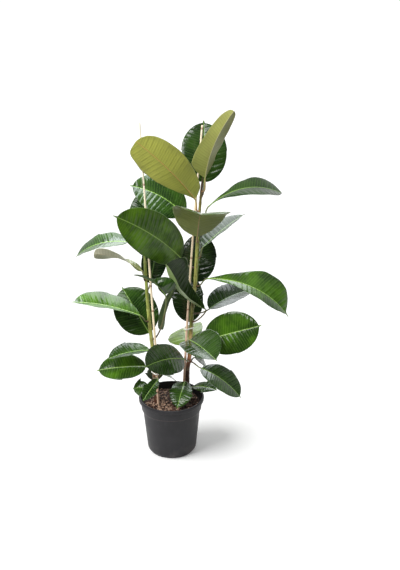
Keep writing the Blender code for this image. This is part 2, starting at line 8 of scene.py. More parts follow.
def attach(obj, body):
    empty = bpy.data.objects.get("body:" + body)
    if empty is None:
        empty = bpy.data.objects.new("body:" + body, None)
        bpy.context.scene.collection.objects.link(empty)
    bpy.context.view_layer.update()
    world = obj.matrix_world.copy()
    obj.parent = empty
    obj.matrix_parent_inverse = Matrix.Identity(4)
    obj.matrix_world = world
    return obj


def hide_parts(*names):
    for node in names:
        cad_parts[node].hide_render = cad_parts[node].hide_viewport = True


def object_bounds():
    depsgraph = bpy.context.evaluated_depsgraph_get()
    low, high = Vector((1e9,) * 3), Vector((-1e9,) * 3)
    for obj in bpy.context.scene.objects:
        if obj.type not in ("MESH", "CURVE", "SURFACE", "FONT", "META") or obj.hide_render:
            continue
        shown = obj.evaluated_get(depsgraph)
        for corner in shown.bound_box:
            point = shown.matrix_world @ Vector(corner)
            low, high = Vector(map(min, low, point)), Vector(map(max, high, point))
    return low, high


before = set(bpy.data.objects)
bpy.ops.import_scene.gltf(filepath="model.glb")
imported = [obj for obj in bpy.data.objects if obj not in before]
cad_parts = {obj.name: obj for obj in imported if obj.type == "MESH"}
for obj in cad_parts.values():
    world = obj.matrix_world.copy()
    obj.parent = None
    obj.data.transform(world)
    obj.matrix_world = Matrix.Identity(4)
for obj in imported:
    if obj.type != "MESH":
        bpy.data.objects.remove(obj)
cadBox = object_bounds()


# small helpers for meshes

def unit(vector):
    return vector / np.linalg.norm(vector)


def smoothStep(value, low, high):
    share = np.clip((value - low) / (high - low), 0.0, 1.0)
    return share * share * (3 - 2 * share)


def bell(value, width):
    return np.exp(-((value / width) ** 2))


def makePiece(name, points, faces, materials, faceSlots=None, maps=None):
    mesh = bpy.data.meshes.new(name)
    mesh.from_pydata([tuple(point) for point in points], [], [tuple(face) for face in faces])
    for material in materials:
        mesh.materials.append(material)
    if faceSlots is not None:
        mesh.polygons.foreach_set("material_index", faceSlots)
    if maps:
        corners = np.zeros(len(mesh.loops), dtype=np.int32)
        mesh.loops.foreach_get("vertex_index", corners)
        for mapName, values in maps.items():
            layer = mesh.uv_layers.new(name=mapName)
            layer.data.foreach_set("uv", np.asarray(values, dtype=np.float32)[corners].ravel())
    mesh.validate()
    mesh.shade_smooth()
    piece = bpy.data.objects.new(name, mesh)
    bpy.context.scene.collection.objects.link(piece)
    return piece


def settle(piece, nodeName):
    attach(piece, "root")
    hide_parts(nodeName)
    return piece


def loftFaces(rings, around, closed=True):
    faces = []
    for i in range(rings - 1):
        for j in range(around if closed else around - 1):
            k = (j + 1) % around
            faces.append((i * around + j, i * around + k, (i + 1) * around + k, (i + 1) * around + j))
    return faces


# small helpers for materials

def newMaterial(name):
    material = bpy.data.materials.new(name)
    material.use_nodes = True
    return material, material.node_tree


def shaderOf(tree):
    return tree.nodes["Principled BSDF"]


def feed(tree, socket, value):
    if isinstance(value, bpy.types.NodeSocket):
        tree.links.new(value, socket)
    elif isinstance(value, (tuple, list)) and len(value) == 3 and socket.type == "RGBA":
        socket.default_value = (*value, 1.0)
    else:
        socket.default_value = value


def calc(tree, operation, *values):
    node = tree.nodes.new("ShaderNodeMath")
    node.operation = operation
    for socket, value in zip(node.inputs, values):
        feed(tree, socket, value)
    return node.outputs[0]


def times(tree, first, second):
    return calc(tree, "MULTIPLY", first, second)


def plus(tree, first, second):
    return calc(tree, "ADD", first, second)


def minus(tree, first, second):
    return calc(tree, "SUBTRACT", first, second)


def span(tree, value, low, high, toLow=0.0, toHigh=1.0, smooth=True):
    node = tree.nodes.new("ShaderNodeMapRange")
    node.interpolation_type = "SMOOTHSTEP" if smooth else "LINEAR"
    for key, number in zip(("Value", "From Min", "From Max", "To Min", "To Max"),
                           (value, low, high, toLow, toHigh)):
        feed(tree, node.inputs[key], number)
    return node.outputs["Result"]


def mixColour(tree, share, first, second, mode="MIX"):
    node = tree.nodes.new("ShaderNodeMix")
    node.data_type = "RGBA"
    node.blend_type = mode
    feed(tree, node.inputs["Factor"], share)
    feed(tree, node.inputs[6], first)
    feed(tree, node.inputs[7], second)
    return node.outputs[2]


def mixTo(tree, share, first, second):
    node = tree.nodes.new("ShaderNodeMix")
    node.data_type = "FLOAT"
    feed(tree, node.inputs[0], share)
    feed(tree, node.inputs[2], first)
    feed(tree, node.inputs[3], second)
    return node.outputs[0]


def colourRamp(tree, share, stops):
    node = tree.nodes.new("ShaderNodeValToRGB")
    feed(tree, node.inputs[0], share)
    ramp = node.color_ramp
    while len(ramp.elements) < len(stops):
        ramp.elements.new(0.5)
    for element, (place, colour) in zip(ramp.elements, stops):
        element.position = place
        element.color = (*colour, 1.0)
    return node.outputs[0]


def noiseOf(tree, where, scale, detail=3.0, roughness=0.55, stretch=None):
    if stretch is not None:
        mapping = tree.nodes.new("ShaderNodeMapping")
        feed(tree, mapping.inputs["Vector"], where)
        mapping.inputs["Scale"].default_value = stretch
        where = mapping.outputs[0]
    node = tree.nodes.new("ShaderNodeTexNoise")
    feed(tree, node.inputs["Vector"], where)
    node.inputs["Scale"].default_value = scale
    node.inputs["Detail"].default_value = detail
    node.inputs["Roughness"].default_value = roughness
    return node.outputs[0]


def placeOf(tree):
    return tree.nodes.new("ShaderNodeTexCoord").outputs["Object"]


def mapOf(tree, mapName):
    node = tree.nodes.new("ShaderNodeUVMap")
    node.uv_map = mapName
    split = tree.nodes.new("ShaderNodeSeparateXYZ")
    tree.links.new(node.outputs[0], split.inputs[0])
    return node.outputs[0], split.outputs[0], split.outputs[1]


def bumpFrom(tree, height, distance, strength=1.0, before=None):
    node = tree.nodes.new("ShaderNodeBump")
    feed(tree, node.inputs["Height"], height)
    node.inputs["Distance"].default_value = distance
    node.inputs["Strength"].default_value = strength
    if before is not None:
        tree.links.new(before, node.inputs["Normal"])
    return node.outputs[0]


def finished(material, colour, roughness, normal):
    tree = material.node_tree
    for name, value in (("Base Color", colour), ("Roughness", roughness), ("Normal", normal)):
        feed(tree, shaderOf(tree).inputs[name], value)
    return material


# stems: heights, bends and thickness run from 40 mm under the soil to the growing point
stems = {
    "left": dict(
        path=[(-0.047, -0.012, 0.125), (-0.048, -0.012, 0.165), (-0.052, -0.014, 0.270),
              (-0.057, -0.010, 0.365), (-0.065, -0.005, 0.450), (-0.069, -0.003, 0.520),
              (-0.073, -0.002, 0.615), (-0.075, 0.000, 0.700), (-0.075, 0.000, 0.725)],
        radii=[0.0072, 0.0070, 0.0064, 0.0060, 0.0056, 0.0052, 0.0046, 0.0038, 0.0012],
        scars=[0.185, 0.203, 0.312, 0.335, 0.425, 0.487, 0.515, 0.640, 0.662],
        colours=[(0.14, (0.090, 0.035, 0.022)), (0.22, (0.150, 0.062, 0.036)), (0.28, (0.22, 0.13, 0.06)),
                 (0.33, (0.30, 0.30, 0.075)), (0.45, (0.34, 0.37, 0.085)), (0.60, (0.26, 0.32, 0.07)),
                 (0.70, (0.15, 0.20, 0.05))],
    ),
    "right": dict(
        path=[(0.048, 0.049, 0.125), (0.049, 0.050, 0.165), (0.051, 0.050, 0.255),
              (0.058, 0.050, 0.300), (0.062, 0.050, 0.380), (0.067, 0.050, 0.465),
              (0.077, 0.050, 0.550), (0.082, 0.050, 0.650), (0.089, 0.050, 0.770),
              (0.098, 0.050, 0.865), (0.100, 0.051, 0.890)],
        radii=[0.0082, 0.0080, 0.0072, 0.0068, 0.0064, 0.0060, 0.0056, 0.0052, 0.0044, 0.0036, 0.0012],
        scars=[0.198, 0.222, 0.240, 0.310, 0.380, 0.475, 0.520, 0.572, 0.660, 0.715, 0.770, 0.808],
        colours=[(0.14, (0.050, 0.022, 0.014)), (0.26, (0.085, 0.036, 0.022)), (0.295, (0.42, 0.17, 0.075)),
                 (0.37, (0.44, 0.27, 0.08)), (0.42, (0.22, 0.25, 0.055)), (0.50, (0.26, 0.24, 0.07)),
                 (0.57, (0.42, 0.44, 0.10)), (0.70, (0.36, 0.40, 0.09)), (0.78, (0.30, 0.27, 0.07)),
                 (0.85, (0.075, 0.050, 0.022))],
    ),
}
stemDetail = dict(around=26, rise=0.0022, nodeSwell=0.00055, scarDepth=0.00028, barkRelief=0.00030)

canes = {
    "left": dict(
        path=[(-0.0380, -0.0290, 0.030), (-0.0410, -0.0280, 0.165), (-0.0465, -0.0240, 0.380),
              (-0.0560, -0.0210, 0.560), (-0.0665, -0.0180, 0.810), (-0.0775, -0.0150, 1.057)],
        radius=0.0041,
        joints=(0.215, 0.490, 0.571, 0.880),
    ),
    "right": dict(
        path=[(0.0300, 0.0400, 0.030), (0.0400, 0.0395, 0.217), (0.0490, 0.0395, 0.380),
              (0.0620, 0.0395, 0.590), (0.0735, 0.0390, 0.750), (0.0985, 0.0500, 1.040)],
        radius=0.0043,
        joints=(0.300, 0.470, 0.640, 0.840, 1.030),
    ),
}
caneDetail = dict(around=24, rise=0.0025, topShare=0.62, jointSwell=0.16, bore=0.45,
                  jointSteps=(-0.003, -0.0015, -0.0007, 0.0, 0.0007, 0.0015, 0.003))


def along(path, values, height):
    heights = [point[2] for point in path]
    place = np.array([np.interp(height, heights, [point[k] for point in path]) for k in range(3)])
    return place, float(np.interp(height, heights, values))


def caneRadii(cane):
    foot, top = cane["path"][0][2], cane["path"][-1][2]
    return [cane["radius"] * (1 + (caneDetail["topShare"] - 1) * (point[2] - foot) / (top - foot))
            for point in cane["path"]]


def roundedWay(path, values, heights, reach=0.010):
    # the bends of the path are eased over a couple of centimetres
    offsets = np.linspace(-2.0, 2.0, 9)
    weights = np.exp(-offsets ** 2)
    weights /= weights.sum()
    known = [point[2] for point in path]
    columns = []
    for row in ([p[0] for p in path], [p[1] for p in path], values):
        total = np.zeros(len(heights))
        for offset, weight in zip(offsets, weights):
            shifted = heights + offset * reach * np.minimum(
                1.0, np.minimum(heights - known[0], known[-1] - heights) / (2 * reach))
            total += weight * np.interp(shifted, known, row)
        columns.append(total)
    return np.stack(columns, axis=1)


def makeRod(name, centres, heights, radii, around, marks, material, bore=0.0):
    turns = np.linspace(0, 2 * math.pi, around, endpoint=False)
    points = []
    marksMap = []
    for (x, y), z, radiusRow, mark in zip(centres, heights, radii, marks):
        for turn, radius in zip(turns, radiusRow):
            points.append((x + radius * math.cos(turn), y + radius * math.sin(turn), z))
            marksMap.append((mark, z))
    faces = loftFaces(len(heights), around)
    faces.append(tuple(reversed(range(around))))
    last = (len(heights) - 1) * around
    if bore:
        x, y = centres[-1]
        z = heights[-1]
        for depth, share in ((0.0, bore), (0.004, bore * 0.9)):
            start = len(points)
            for turn, radius in zip(turns, radii[-1]):
                reach = radius * share
                points.append((x + reach * math.cos(turn), y + reach * math.sin(turn), z - depth))
                marksMap.append((0.6, z))
            for j in range(around):
                k = (j + 1) % around
                faces.append((last + j, last + k, start + k, start + j))
            last = start
    faces.append(tuple(range(last, last + around)))
    return makePiece(name, points, faces, [material], maps={"rodMarks": marksMap})


def rodColours(tree, height, stops, top=1.1):
    return colourRamp(tree, calc(tree, "DIVIDE", height, top), [(z / top, colour) for z, colour in stops])


def barkMaterial(name, colours):
    material, tree = newMaterial(name)
    place = placeOf(tree)
    _, mark, height = mapOf(tree, "rodMarks")
    streaks = noiseOf(tree, place, 260, 4, 0.6, stretch=(1, 1, 0.09))
    patches = noiseOf(tree, place, 55, 3, 0.6)
    specks = noiseOf(tree, place, 900, 2, 0.5)
    base = rodColours(tree, height, colours)
    dark = mixColour(tree, 1.0, base, (0.42, 0.36, 0.34), "MULTIPLY")
    light = mixColour(tree, 0.35, base, (0.62, 0.56, 0.36))
    skin = mixColour(tree, span(tree, streaks, 0.42, 0.66), base, dark)
    skin = mixColour(tree, span(tree, patches, 0.52, 0.72, 0.0, 0.75), skin, light)
    skin = mixColour(tree, span(tree, specks, 0.66, 0.78, 0.0, 0.6), skin, (0.55, 0.46, 0.33))
    skin = mixColour(tree, span(tree, mark, 0.45, 0.98, 0.0, 0.42), skin, (0.105, 0.060, 0.024))
    rough = plus(tree, times(tree, streaks, 0.7), times(tree, specks, 0.3))
    roughness = span(tree, patches, 0.3, 0.7, 0.48, 0.72)
    return finished(material, skin, roughness, bumpFrom(tree, rough, 0.0012, 0.6))


def makeStem(side):
    stem = stems[side]
    step = stemDetail["rise"]
    heights = np.arange(stem["path"][0][2], stem["path"][-1][2] - 0.0005, step)
    heights = np.append(heights, [stem["path"][-1][2] - 0.0005, stem["path"][-1][2]])
    way = roundedWay(stem["path"], stem["radii"], heights)
    nodes = [plan["node"] for plan in leaves.values() if plan["stem"] == side] + stem["scars"]
    around = stemDetail["around"]
    turns = np.linspace(0, 2 * math.pi, around, endpoint=False)
    radii, marks = [], []
    for (x, y, radius), z in zip(way, heights):
        gaps = np.array([z - node for node in nodes])
        swell = stemDetail["nodeSwell"] * bell(gaps - 0.001, 0.0048).max()
        scar = stemDetail["scarDepth"] * bell(gaps - 0.0055, 0.0013).max()
        marks.append(float(bell(gaps - 0.0050, 0.0022).max()))
        row = []
        for turn in turns:
            spot = Vector((math.cos(turn) * 1.6, math.sin(turn) * 1.6, z * 55))
            relief = stemDetail["barkRelief"] * noise.noise(spot + Vector((3.1, 0.7, 9.2)))
            relief += 0.5 * stemDetail["barkRelief"] * noise.noise(spot * 3.1)
            row.append(max(0.0006, radius + min(1.0, radius / 0.004) * (swell - scar + relief)))
        radii.append(row)
    material = barkMaterial(f"stemBark{side.capitalize()}", stem["colours"])
    piece = makeRod(f"stem{side.capitalize()}", way[:, :2], heights, radii, around, marks, material)
    return settle(piece, f"stem_{side}")


def bambooMaterial(name, colours):
    material, tree = newMaterial(name)
    place = placeOf(tree)
    _, mark, height = mapOf(tree, "rodMarks")
    fibres = noiseOf(tree, place, 700, 3, 0.6, stretch=(1, 1, 0.03))
    stains = noiseOf(tree, place, 60, 4, 0.65, stretch=(1, 1, 0.35))
    skin = rodColours(tree, height, colours)
    skin = mixColour(tree, span(tree, fibres, 0.45, 0.70, 0.0, 0.45), skin, (0.62, 0.44, 0.24))
    skin = mixColour(tree, span(tree, stains, 0.56, 0.74, 0.0, 0.55), skin, (0.50, 0.33, 0.19))
    skin = mixColour(tree, span(tree, mark, 0.25, 0.90, 0.0, 0.9), skin, (0.26, 0.12, 0.06))
    roughness = span(tree, stains, 0.3, 0.7, 0.36, 0.56)
    return finished(material, skin, roughness, bumpFrom(tree, fibres, 0.0008, 0.45))


def makeCane(side):
    cane = canes[side]
    low, high = cane["path"][0][2], cane["path"][-1][2]
    heights = set(np.arange(low, high, caneDetail["rise"]).round(5)) | {high}
    for joint in cane["joints"]:
        heights |= {round(joint + shift, 5) for shift in caneDetail["jointSteps"]}
    heights = np.array(sorted(z for z in heights if z <= high))
    way = roundedWay(cane["path"], caneRadii(cane), heights)
    around = caneDetail["around"]
    turns = np.linspace(0, 2 * math.pi, around, endpoint=False)
    radii, marks = [], []
    for (x, y, radius), z in zip(way, heights):
        gaps = np.array([z - joint for joint in cane["joints"]])
        swell = bell(gaps, 0.0026).max() - 0.55 * bell(gaps + 0.0022, 0.0010).max()
        swell *= caneDetail["jointSwell"]
        marks.append(float(max(bell(gaps, 0.0022).max(), 0.7 * bell(gaps - 0.002, 0.0045).max())))
        out = 1 + 0.018 * noise.noise(Vector((2.0, 5.0, z * 40)))
        radii.append([radius * out * (1 + swell + 0.012 * math.sin(2 * turn + z * 20)) for turn in turns])
    colours = {
        "left": [(0.16, (0.62, 0.42, 0.30)), (0.33, (0.74, 0.52, 0.40)), (0.40, (0.84, 0.70, 0.48)),
                 (0.75, (0.90, 0.79, 0.58)), (1.05, (0.88, 0.82, 0.70))],
        "right": [(0.16, (0.45, 0.25, 0.16)), (0.33, (0.60, 0.38, 0.27)), (0.45, (0.72, 0.52, 0.38)),
                  (0.60, (0.85, 0.70, 0.48)), (1.03, (0.88, 0.76, 0.60))],
    }[side]
    material = bambooMaterial(f"bamboo{side.capitalize()}", colours)
    piece = makeRod(f"cane{side.capitalize()}", way[:, :2], heights, radii, around, marks, material,
                    bore=caneDetail["bore"])
    return settle(piece, f"cane_{side}")


# leaves: base and tip are the two ends of the blade's midrib, face is the way the upper side looks
leafDetail = dict(
    thickness=0.0012, groove=0.0007, ribDepth=0.0017, ribWidth=0.0016, veinGap=0.0078, veinRelief=0.00020,
    veinSlant=0.30, wave=0.0024, bladeSteps=112, stalkSteps=16, stalkRadius=0.0022, dripTip=0.045,
    marginTurn=0.10,
)


def leafPlan(node, base, tip, face, width, **more):
    plan = dict(node=node, base=base, tip=tip, face=face, width=width, bow=0.010,
                sweep=0.0, fold=10, widest=0.5, leave=None, nod=0.0, reach=0.4, turns=None,
                edges=None, look="mature")
    plan.update(more)
    return plan


leaves = {
    "right_leaf_tall": leafPlan(
        0.845, (0.107, 0.040, 0.888), (0.186, -0.020, 1.089), (-0.38, 0.88, -0.11), 0.090,
        bow=-0.004, sweep=0.018, fold=36, look="tall",
        turns=((0, 18), (0.2, 14), (0.5, 2), (0.65, -4), (1, -18)),
        edges=((0, 2, 2), (0.04, 22, 16), (0.1, 38, 34), (0.2, 46, 49), (0.43, 46, 42),
               (0.61, 39, 35), (0.85, 27, 26), (0.95, 18, 17), (0.985, 11, 11), (1, 3, 4))),
    "right_leaf_back": leafPlan(
        0.828, (0.104, 0.070, 0.867), (0.103, 0.140, 1.042), (0.1, -0.9, 0.4), 0.137),
    "right_leaf_gold": leafPlan(
        0.785, (0.077, 0.024, 0.828), (-0.084, -0.075, 1.014), (0.1, 0.92, -0.2), 0.113,
        bow=-0.010, sweep=-0.009, fold=6, leave=230, look="gold",
        edges=((0, 2, 2), (0.03, 16, 4), (0.1, 36, 12), (0.25, 49, 29), (0.4, 57, 43),
               (0.55, 61, 52), (0.72, 57, 55), (0.85, 48, 48), (0.94, 33, 41), (0.975, 21, 34),
               (0.99, 12, 24), (1, 2, 4))),
    "right_leaf_side": leafPlan(
        0.748, (0.119, 0.055, 0.799), (0.340, 0.090, 0.831), (0, -0.32, 0.94), 0.103,
        bow=0.041, fold=14,
        edges=((0, 2, 2), (0.08, 3, 3), (0.16, 8, 10), (0.25, 14, 22), (0.38, 28, 40),
               (0.52, 40, 55), (0.66, 49, 59), (0.8, 46, 52), (0.9, 34, 38), (0.96, 18, 20),
               (1, 3, 3))),
    "right_leaf_rear_left": leafPlan(
        0.758, (0.044, 0.056, 0.773), (-0.116, 0.045, 0.864), (0.03, -0.77, 0.62), 0.120,
        sweep=0.012),
    "right_leaf_olive": leafPlan(
        0.690, (0.084, 0.024, 0.711), (0.098, -0.140, 0.823), (0.02, 0.35, 0.9), 0.166,
        bow=0.030, fold=16, leave=270, look="olive",
        turns=((0, 3), (0.4, -6), (1, -6)),
        edges=((0, 2, 2), (0.03, 20, 20), (0.11, 46, 48), (0.27, 66, 74), (0.5, 80, 84),
               (0.7, 88, 80), (0.85, 80, 74), (0.94, 56, 60), (0.98, 36, 40), (1, 4, 4))),
    "right_leaf_grey": leafPlan(
        0.635, (0.101, 0.055, 0.669), (0.234, 0.160, 0.747), (-0.3, -0.04, 0.94), 0.096,
        bow=0.006, fold=24),
    "right_leaf_broad": leafPlan(
        0.605, (0.034, 0.052, 0.634), (-0.150, -0.120, 0.816), (0.12, -0.93, 0.36), 0.134,
        bow=0.012, sweep=0.012, leave=180, look="sunlit"),
    "right_leaf_shade": leafPlan(
        0.535, (0.083, 0.072, 0.549), (0.092, 0.150, 0.691), (0.1, -0.8, 0.6), 0.110,
        look="shade"),
    "right_leaf_arching": leafPlan(
        0.545, (0.116, 0.030, 0.576), (0.366, -0.022, 0.474), (0.1, -0.45, 0.9), 0.115,
        bow=0.048, fold=18, nod=-0.008, look="bright",
        edges=((0, 2, 2), (0.05, 7, 6), (0.14, 18, 14), (0.28, 34, 24), (0.42, 56, 34),
               (0.56, 72, 42), (0.7, 74, 42), (0.81, 66, 34), (0.885, 46, 20), (0.925, 24, 12),
               (0.95, 5, 5), (1, 0.8, 0.8))),
    "left_leaf_cross": leafPlan(
        0.390, (-0.013, -0.035, 0.547), (-0.102, -0.075, 0.625), (0.3, -0.8, 0.6), 0.060,
        bow=0.004, sweep=0.012, fold=40, leave=5, reach=0.15,
        turns=((0, -20), (0.2, -20), (0.45, 60), (1, 80)),
        edges=((0, 2, 2), (0.04, 4, 34), (0.12, 7, 54), (0.2, 8, 58), (0.28, 9, 44), (0.36, 9, 28),
               (0.45, 9, 17), (0.6, 8, 12), (0.8, 7, 9), (0.92, 5, 5), (1, 1, 1))),
    "right_leaf_under": leafPlan(
        0.450, (0.121, 0.070, 0.459), (0.257, 0.170, 0.486), (-0.2, -0.4, 0.9), 0.105,
        bow=0.012, fold=24, look="shade"),
    "right_leaf_upturned": leafPlan(
        0.425, (0.108, 0.018, 0.480), (-0.008, -0.060, 0.654), (0.60, -0.37, 0.71), 0.110,
        bow=-0.029, fold=50, reach=0.2, look="pale",
        edges=((0, 2, 2), (0.05, 17, 14), (0.2, 42, 32), (0.35, 48, 44), (0.5, 46, 58), (0.65, 44, 74),
               (0.78, 40, 84), (0.88, 33, 80), (0.95, 22, 58), (0.985, 12, 32), (1, 3, 4))),
    "right_leaf_rear": leafPlan(
        0.398, (0.060, 0.072, 0.413), (0.044, 0.140, 0.559), (0, -0.8, 0.5), 0.100,
        look="shade"),
    "right_leaf_oval": leafPlan(
        0.345, (0.105, 0.030, 0.368), (0.285, 0.020, 0.424), (0.1, -0.85, 0.5), 0.132,
        bow=0.008, fold=6, look="bright"),
    "right_leaf_folded": leafPlan(
        0.362, (0.060, 0.018, 0.374), (0.143, -0.130, 0.373), (-0.15, -0.35, 0.93), 0.134,
        fold=30, leave=275),
    "right_leaf_yellow": leafPlan(
        0.330, (0.060, 0.080, 0.334), (0.035, 0.205, 0.336), (-0.36, -0.14, 0.9), 0.124,
        bow=0.014, fold=6, look="yellow"),
    "right_leaf_front_left": leafPlan(
        0.290, (0.041, 0.014, 0.310), (-0.075, -0.115, 0.344), (0, -0.75, 0.65), 0.108,
        sweep=0.008, fold=8, leave=265),
    "right_leaf_low_rear": leafPlan(
        0.275, (0.075, 0.075, 0.285), (0.115, 0.110, 0.235), (0.4, -0.2, 0.8), 0.055,
        bow=0.006, look="shade"),
    "right_leaf_low_right": leafPlan(
        0.285, (0.095, 0.030, 0.270), (0.223, -0.020, 0.189), (0.35, -0.38, 0.85), 0.100,
        bow=0.016, fold=14),
    "right_leaf_small": leafPlan(
        0.188, (0.068, 0.040, 0.197), (0.147, 0.000, 0.206), (0, -0.3, 0.95), 0.045,
        bow=0.008),
    "right_leaf_over_rim": leafPlan(
        0.212, (0.042, 0.018, 0.226), (0.020, -0.070, 0.178), (0, -0.8, 0.6), 0.068,
        bow=0.016, leave=275),
    "left_leaf_crown": leafPlan(
        0.690, (-0.072, 0.014, 0.712), (-0.058, 0.120, 0.845), (0, -0.9, 0.4), 0.112,
        bow=-0.006, leave=95),
    "left_leaf_drooping": leafPlan(
        0.675, (-0.124, 0.010, 0.700), (-0.287, 0.030, 0.646), (0, -0.25, 0.95), 0.088,
        bow=0.022, fold=16, widest=0.45),
    "left_leaf_khaki": leafPlan(
        0.585, (-0.082, -0.020, 0.618), (-0.219, -0.050, 0.681), (-0.03, 0.31, 0.95), 0.054,
        bow=0.014, fold=12, look="khaki",
        turns=((0, -51), (1, 59)),
        edges=((0, 2, 2), (0.08, 14, 14), (0.25, 24, 24), (0.45, 27, 27), (0.65, 27, 27),
               (0.85, 24, 23), (0.95, 19, 18), (0.985, 13, 13), (1, 3, 5))),
    "left_leaf_rear": leafPlan(
        0.550, (-0.061, 0.018, 0.564), (-0.031, 0.080, 0.711), (0, -0.85, 0.5), 0.080,
        bow=0.006, look="shade"),
    "left_leaf_long": leafPlan(
        0.450, (-0.091, -0.030, 0.478), (-0.295, -0.050, 0.530), (0, -0.08, 1.0), 0.118,
        bow=0.012, fold=24, widest=0.54, look="bright"),
    "left_leaf_broad": leafPlan(
        0.385, (-0.067, 0.014, 0.400), (-0.154, 0.070, 0.534), (0, -0.85, 0.5), 0.135,
        bow=0.008),
    "right_leaf_inner": leafPlan(
        0.510, (0.019, 0.028, 0.560), (-0.024, 0.018, 0.411), (-0.6, 0.5, 0.4), 0.045,
        bow=0.004, sweep=-0.020, fold=20, leave=262,
        edges=((0, 2, 2), (0.1, 8, 25), (0.2, 11, 33), (0.35, 14, 36), (0.5, 15, 32), (0.7, 18, 22),
               (0.85, 20, 18), (0.95, 15, 13), (1, 2, 2))),
    "left_leaf_folded": leafPlan(
        0.352, (-0.063, -0.036, 0.364), (-0.193, -0.070, 0.350), (0, -0.1, 1.0), 0.080,
        bow=0.009, fold=24),
    "left_leaf_lowest": leafPlan(
        0.295, (-0.078, -0.020, 0.302), (-0.230, -0.040, 0.296), (0, -0.6, 0.8), 0.088,
        look="bright"),
    "left_leaf_rear_small": leafPlan(
        0.285, (-0.055, 0.012, 0.280), (-0.055, 0.040, 0.215), (0, 0.8, 0.5), 0.048,
        bow=0.006, look="shade"),
    "left_leaf_round": leafPlan(
        0.220, (-0.070, -0.030, 0.230), (-0.120, -0.030, 0.228), (-0.3, -0.6, 0.7), 0.045,
        bow=0.006),
    "left_leaf_narrow": leafPlan(
        0.262, (-0.040, -0.046, 0.268), (-0.084, -0.105, 0.225), (0.3, -0.3, 0.8), 0.040,
        bow=0.006, fold=30, leave=252),
    "left_leaf_short": leafPlan(
        0.245, (-0.029, 0.002, 0.262), (0.016, 0.032, 0.218), (0.3, 0.1, 0.9), 0.034,
        bow=0.006),
}

for nodeName, plan in leaves.items():
    plan["stem"] = nodeName.split("_")[0]

# colours of each kind of leaf: upper side, its darker parts, midrib, underside, its darker parts,
# its midrib, margin and stalk
leafLooks = {
    "mature": dict(top=(0.019, 0.053, 0.005), deep=(0.006, 0.022, 0.003), rib=(0.20, 0.33, 0.07),
                   under=(0.094, 0.15, 0.05), underDeep=(0.05, 0.094, 0.029), underRib=(0.30, 0.34, 0.14),
                   margin=(0.12, 0.19, 0.06), stalk=(0.13, 0.16, 0.05), stalkFoot=(0.10, 0.05, 0.03)),
    "bright": dict(top=(0.046, 0.12, 0.005), deep=(0.01, 0.033, 0.003), rib=(0.28, 0.44, 0.094),
                   under=(0.11, 0.17, 0.058), underDeep=(0.065, 0.11, 0.036), underRib=(0.32, 0.38, 0.16),
                   margin=(0.14, 0.22, 0.07), stalk=(0.14, 0.17, 0.06), stalkFoot=(0.09, 0.045, 0.028)),
    # painted shade: the shade kind is the mature colours made darker, for the leaves that sit behind and
    # under the rest
    "shade": dict(top=(0.01, 0.026, 0.004), deep=(0.004, 0.014, 0.003), rib=(0.094, 0.16, 0.047),
                  under=(0.058, 0.094, 0.032), underDeep=(0.029, 0.054, 0.02), underRib=(0.20, 0.24, 0.10),
                  margin=(0.07, 0.12, 0.05), stalk=(0.09, 0.10, 0.04), stalkFoot=(0.08, 0.04, 0.025)),
    "pale": dict(top=(0.034, 0.078, 0.012), deep=(0.014, 0.036, 0.006), rib=(0.23, 0.33, 0.10),
                 under=(0.24, 0.33, 0.12), underDeep=(0.16, 0.23, 0.079), underRib=(0.50, 0.58, 0.26),
                 margin=(0.30, 0.40, 0.17), stalk=(0.16, 0.14, 0.06), stalkFoot=(0.10, 0.05, 0.03)),
    "gold": dict(top=(0.12, 0.19, 0.029), deep=(0.065, 0.12, 0.022), rib=(0.35, 0.31, 0.11),
                 under=(0.46, 0.48, 0.085), underDeep=(0.32, 0.33, 0.080), underRib=(0.62, 0.33, 0.10),
                 margin=(0.16, 0.20, 0.06), stalk=(0.52, 0.36, 0.12), stalkFoot=(0.45, 0.20, 0.10)),
    "tall": dict(top=(0.10, 0.14, 0.029), deep=(0.058, 0.094, 0.022), rib=(0.31, 0.30, 0.12),
                 under=(0.31, 0.33, 0.085), underDeep=(0.21, 0.20, 0.065), underRib=(0.66, 0.60, 0.30),
                 margin=(0.22, 0.24, 0.09), stalk=(0.42, 0.34, 0.14), stalkFoot=(0.20, 0.11, 0.06)),
    "olive": dict(top=(0.065, 0.12, 0.022), deep=(0.036, 0.079, 0.014), rib=(0.27, 0.31, 0.11),
                  under=(0.21, 0.24, 0.060), underDeep=(0.13, 0.16, 0.042), underRib=(0.40, 0.24, 0.13),
                  margin=(0.18, 0.22, 0.08), stalk=(0.30, 0.18, 0.09), stalkFoot=(0.24, 0.10, 0.05)),
    "khaki": dict(top=(0.17, 0.19, 0.072), deep=(0.10, 0.12, 0.043), rib=(0.33, 0.31, 0.14),
                  under=(0.50, 0.48, 0.34), underDeep=(0.32, 0.32, 0.22), underRib=(0.40, 0.34, 0.18),
                  margin=(0.26, 0.26, 0.12), stalk=(0.20, 0.20, 0.08), stalkFoot=(0.12, 0.07, 0.04)),
    "yellow": dict(top=(0.15, 0.26, 0.014), deep=(0.075, 0.14, 0.010), rib=(0.39, 0.45, 0.12),
                   under=(0.22, 0.27, 0.072), underDeep=(0.14, 0.19, 0.05), underRib=(0.40, 0.42, 0.20),
                   margin=(0.34, 0.42, 0.14), stalk=(0.25, 0.28, 0.08), stalkFoot=(0.14, 0.10, 0.05)),
}
# painted light: the sunlit kind is the bright colours with a lighter upper side, used for the broad leaf
leafLooks["sunlit"] = dict(leafLooks["bright"], top=(0.092, 0.20, 0.010), deep=(0.026, 0.068, 0.005))
# shine is the specular level, given for the kinds that are duller than the rest
leafGloss = dict(ripple=0.00044, underRipple=0.00022, vein=0.00010, grain=0.00002,
                 topRoughness=(0.06, 0.13), underRoughness=(0.38, 0.52), plainShine=0.5,
                 shine=dict(sunlit=0.22, pale=0.18))
veinGapCm = leafDetail["veinGap"] * 100


def veinPhase(tree, fromRib, alongBlade):
    # the side veins leave the midrib at a slant, so they run towards the tip as they go out
    slanted = minus(tree, alongBlade, times(tree, fromRib, leafDetail["veinSlant"]))
    return calc(tree, "DIVIDE", slanted, veinGapCm)


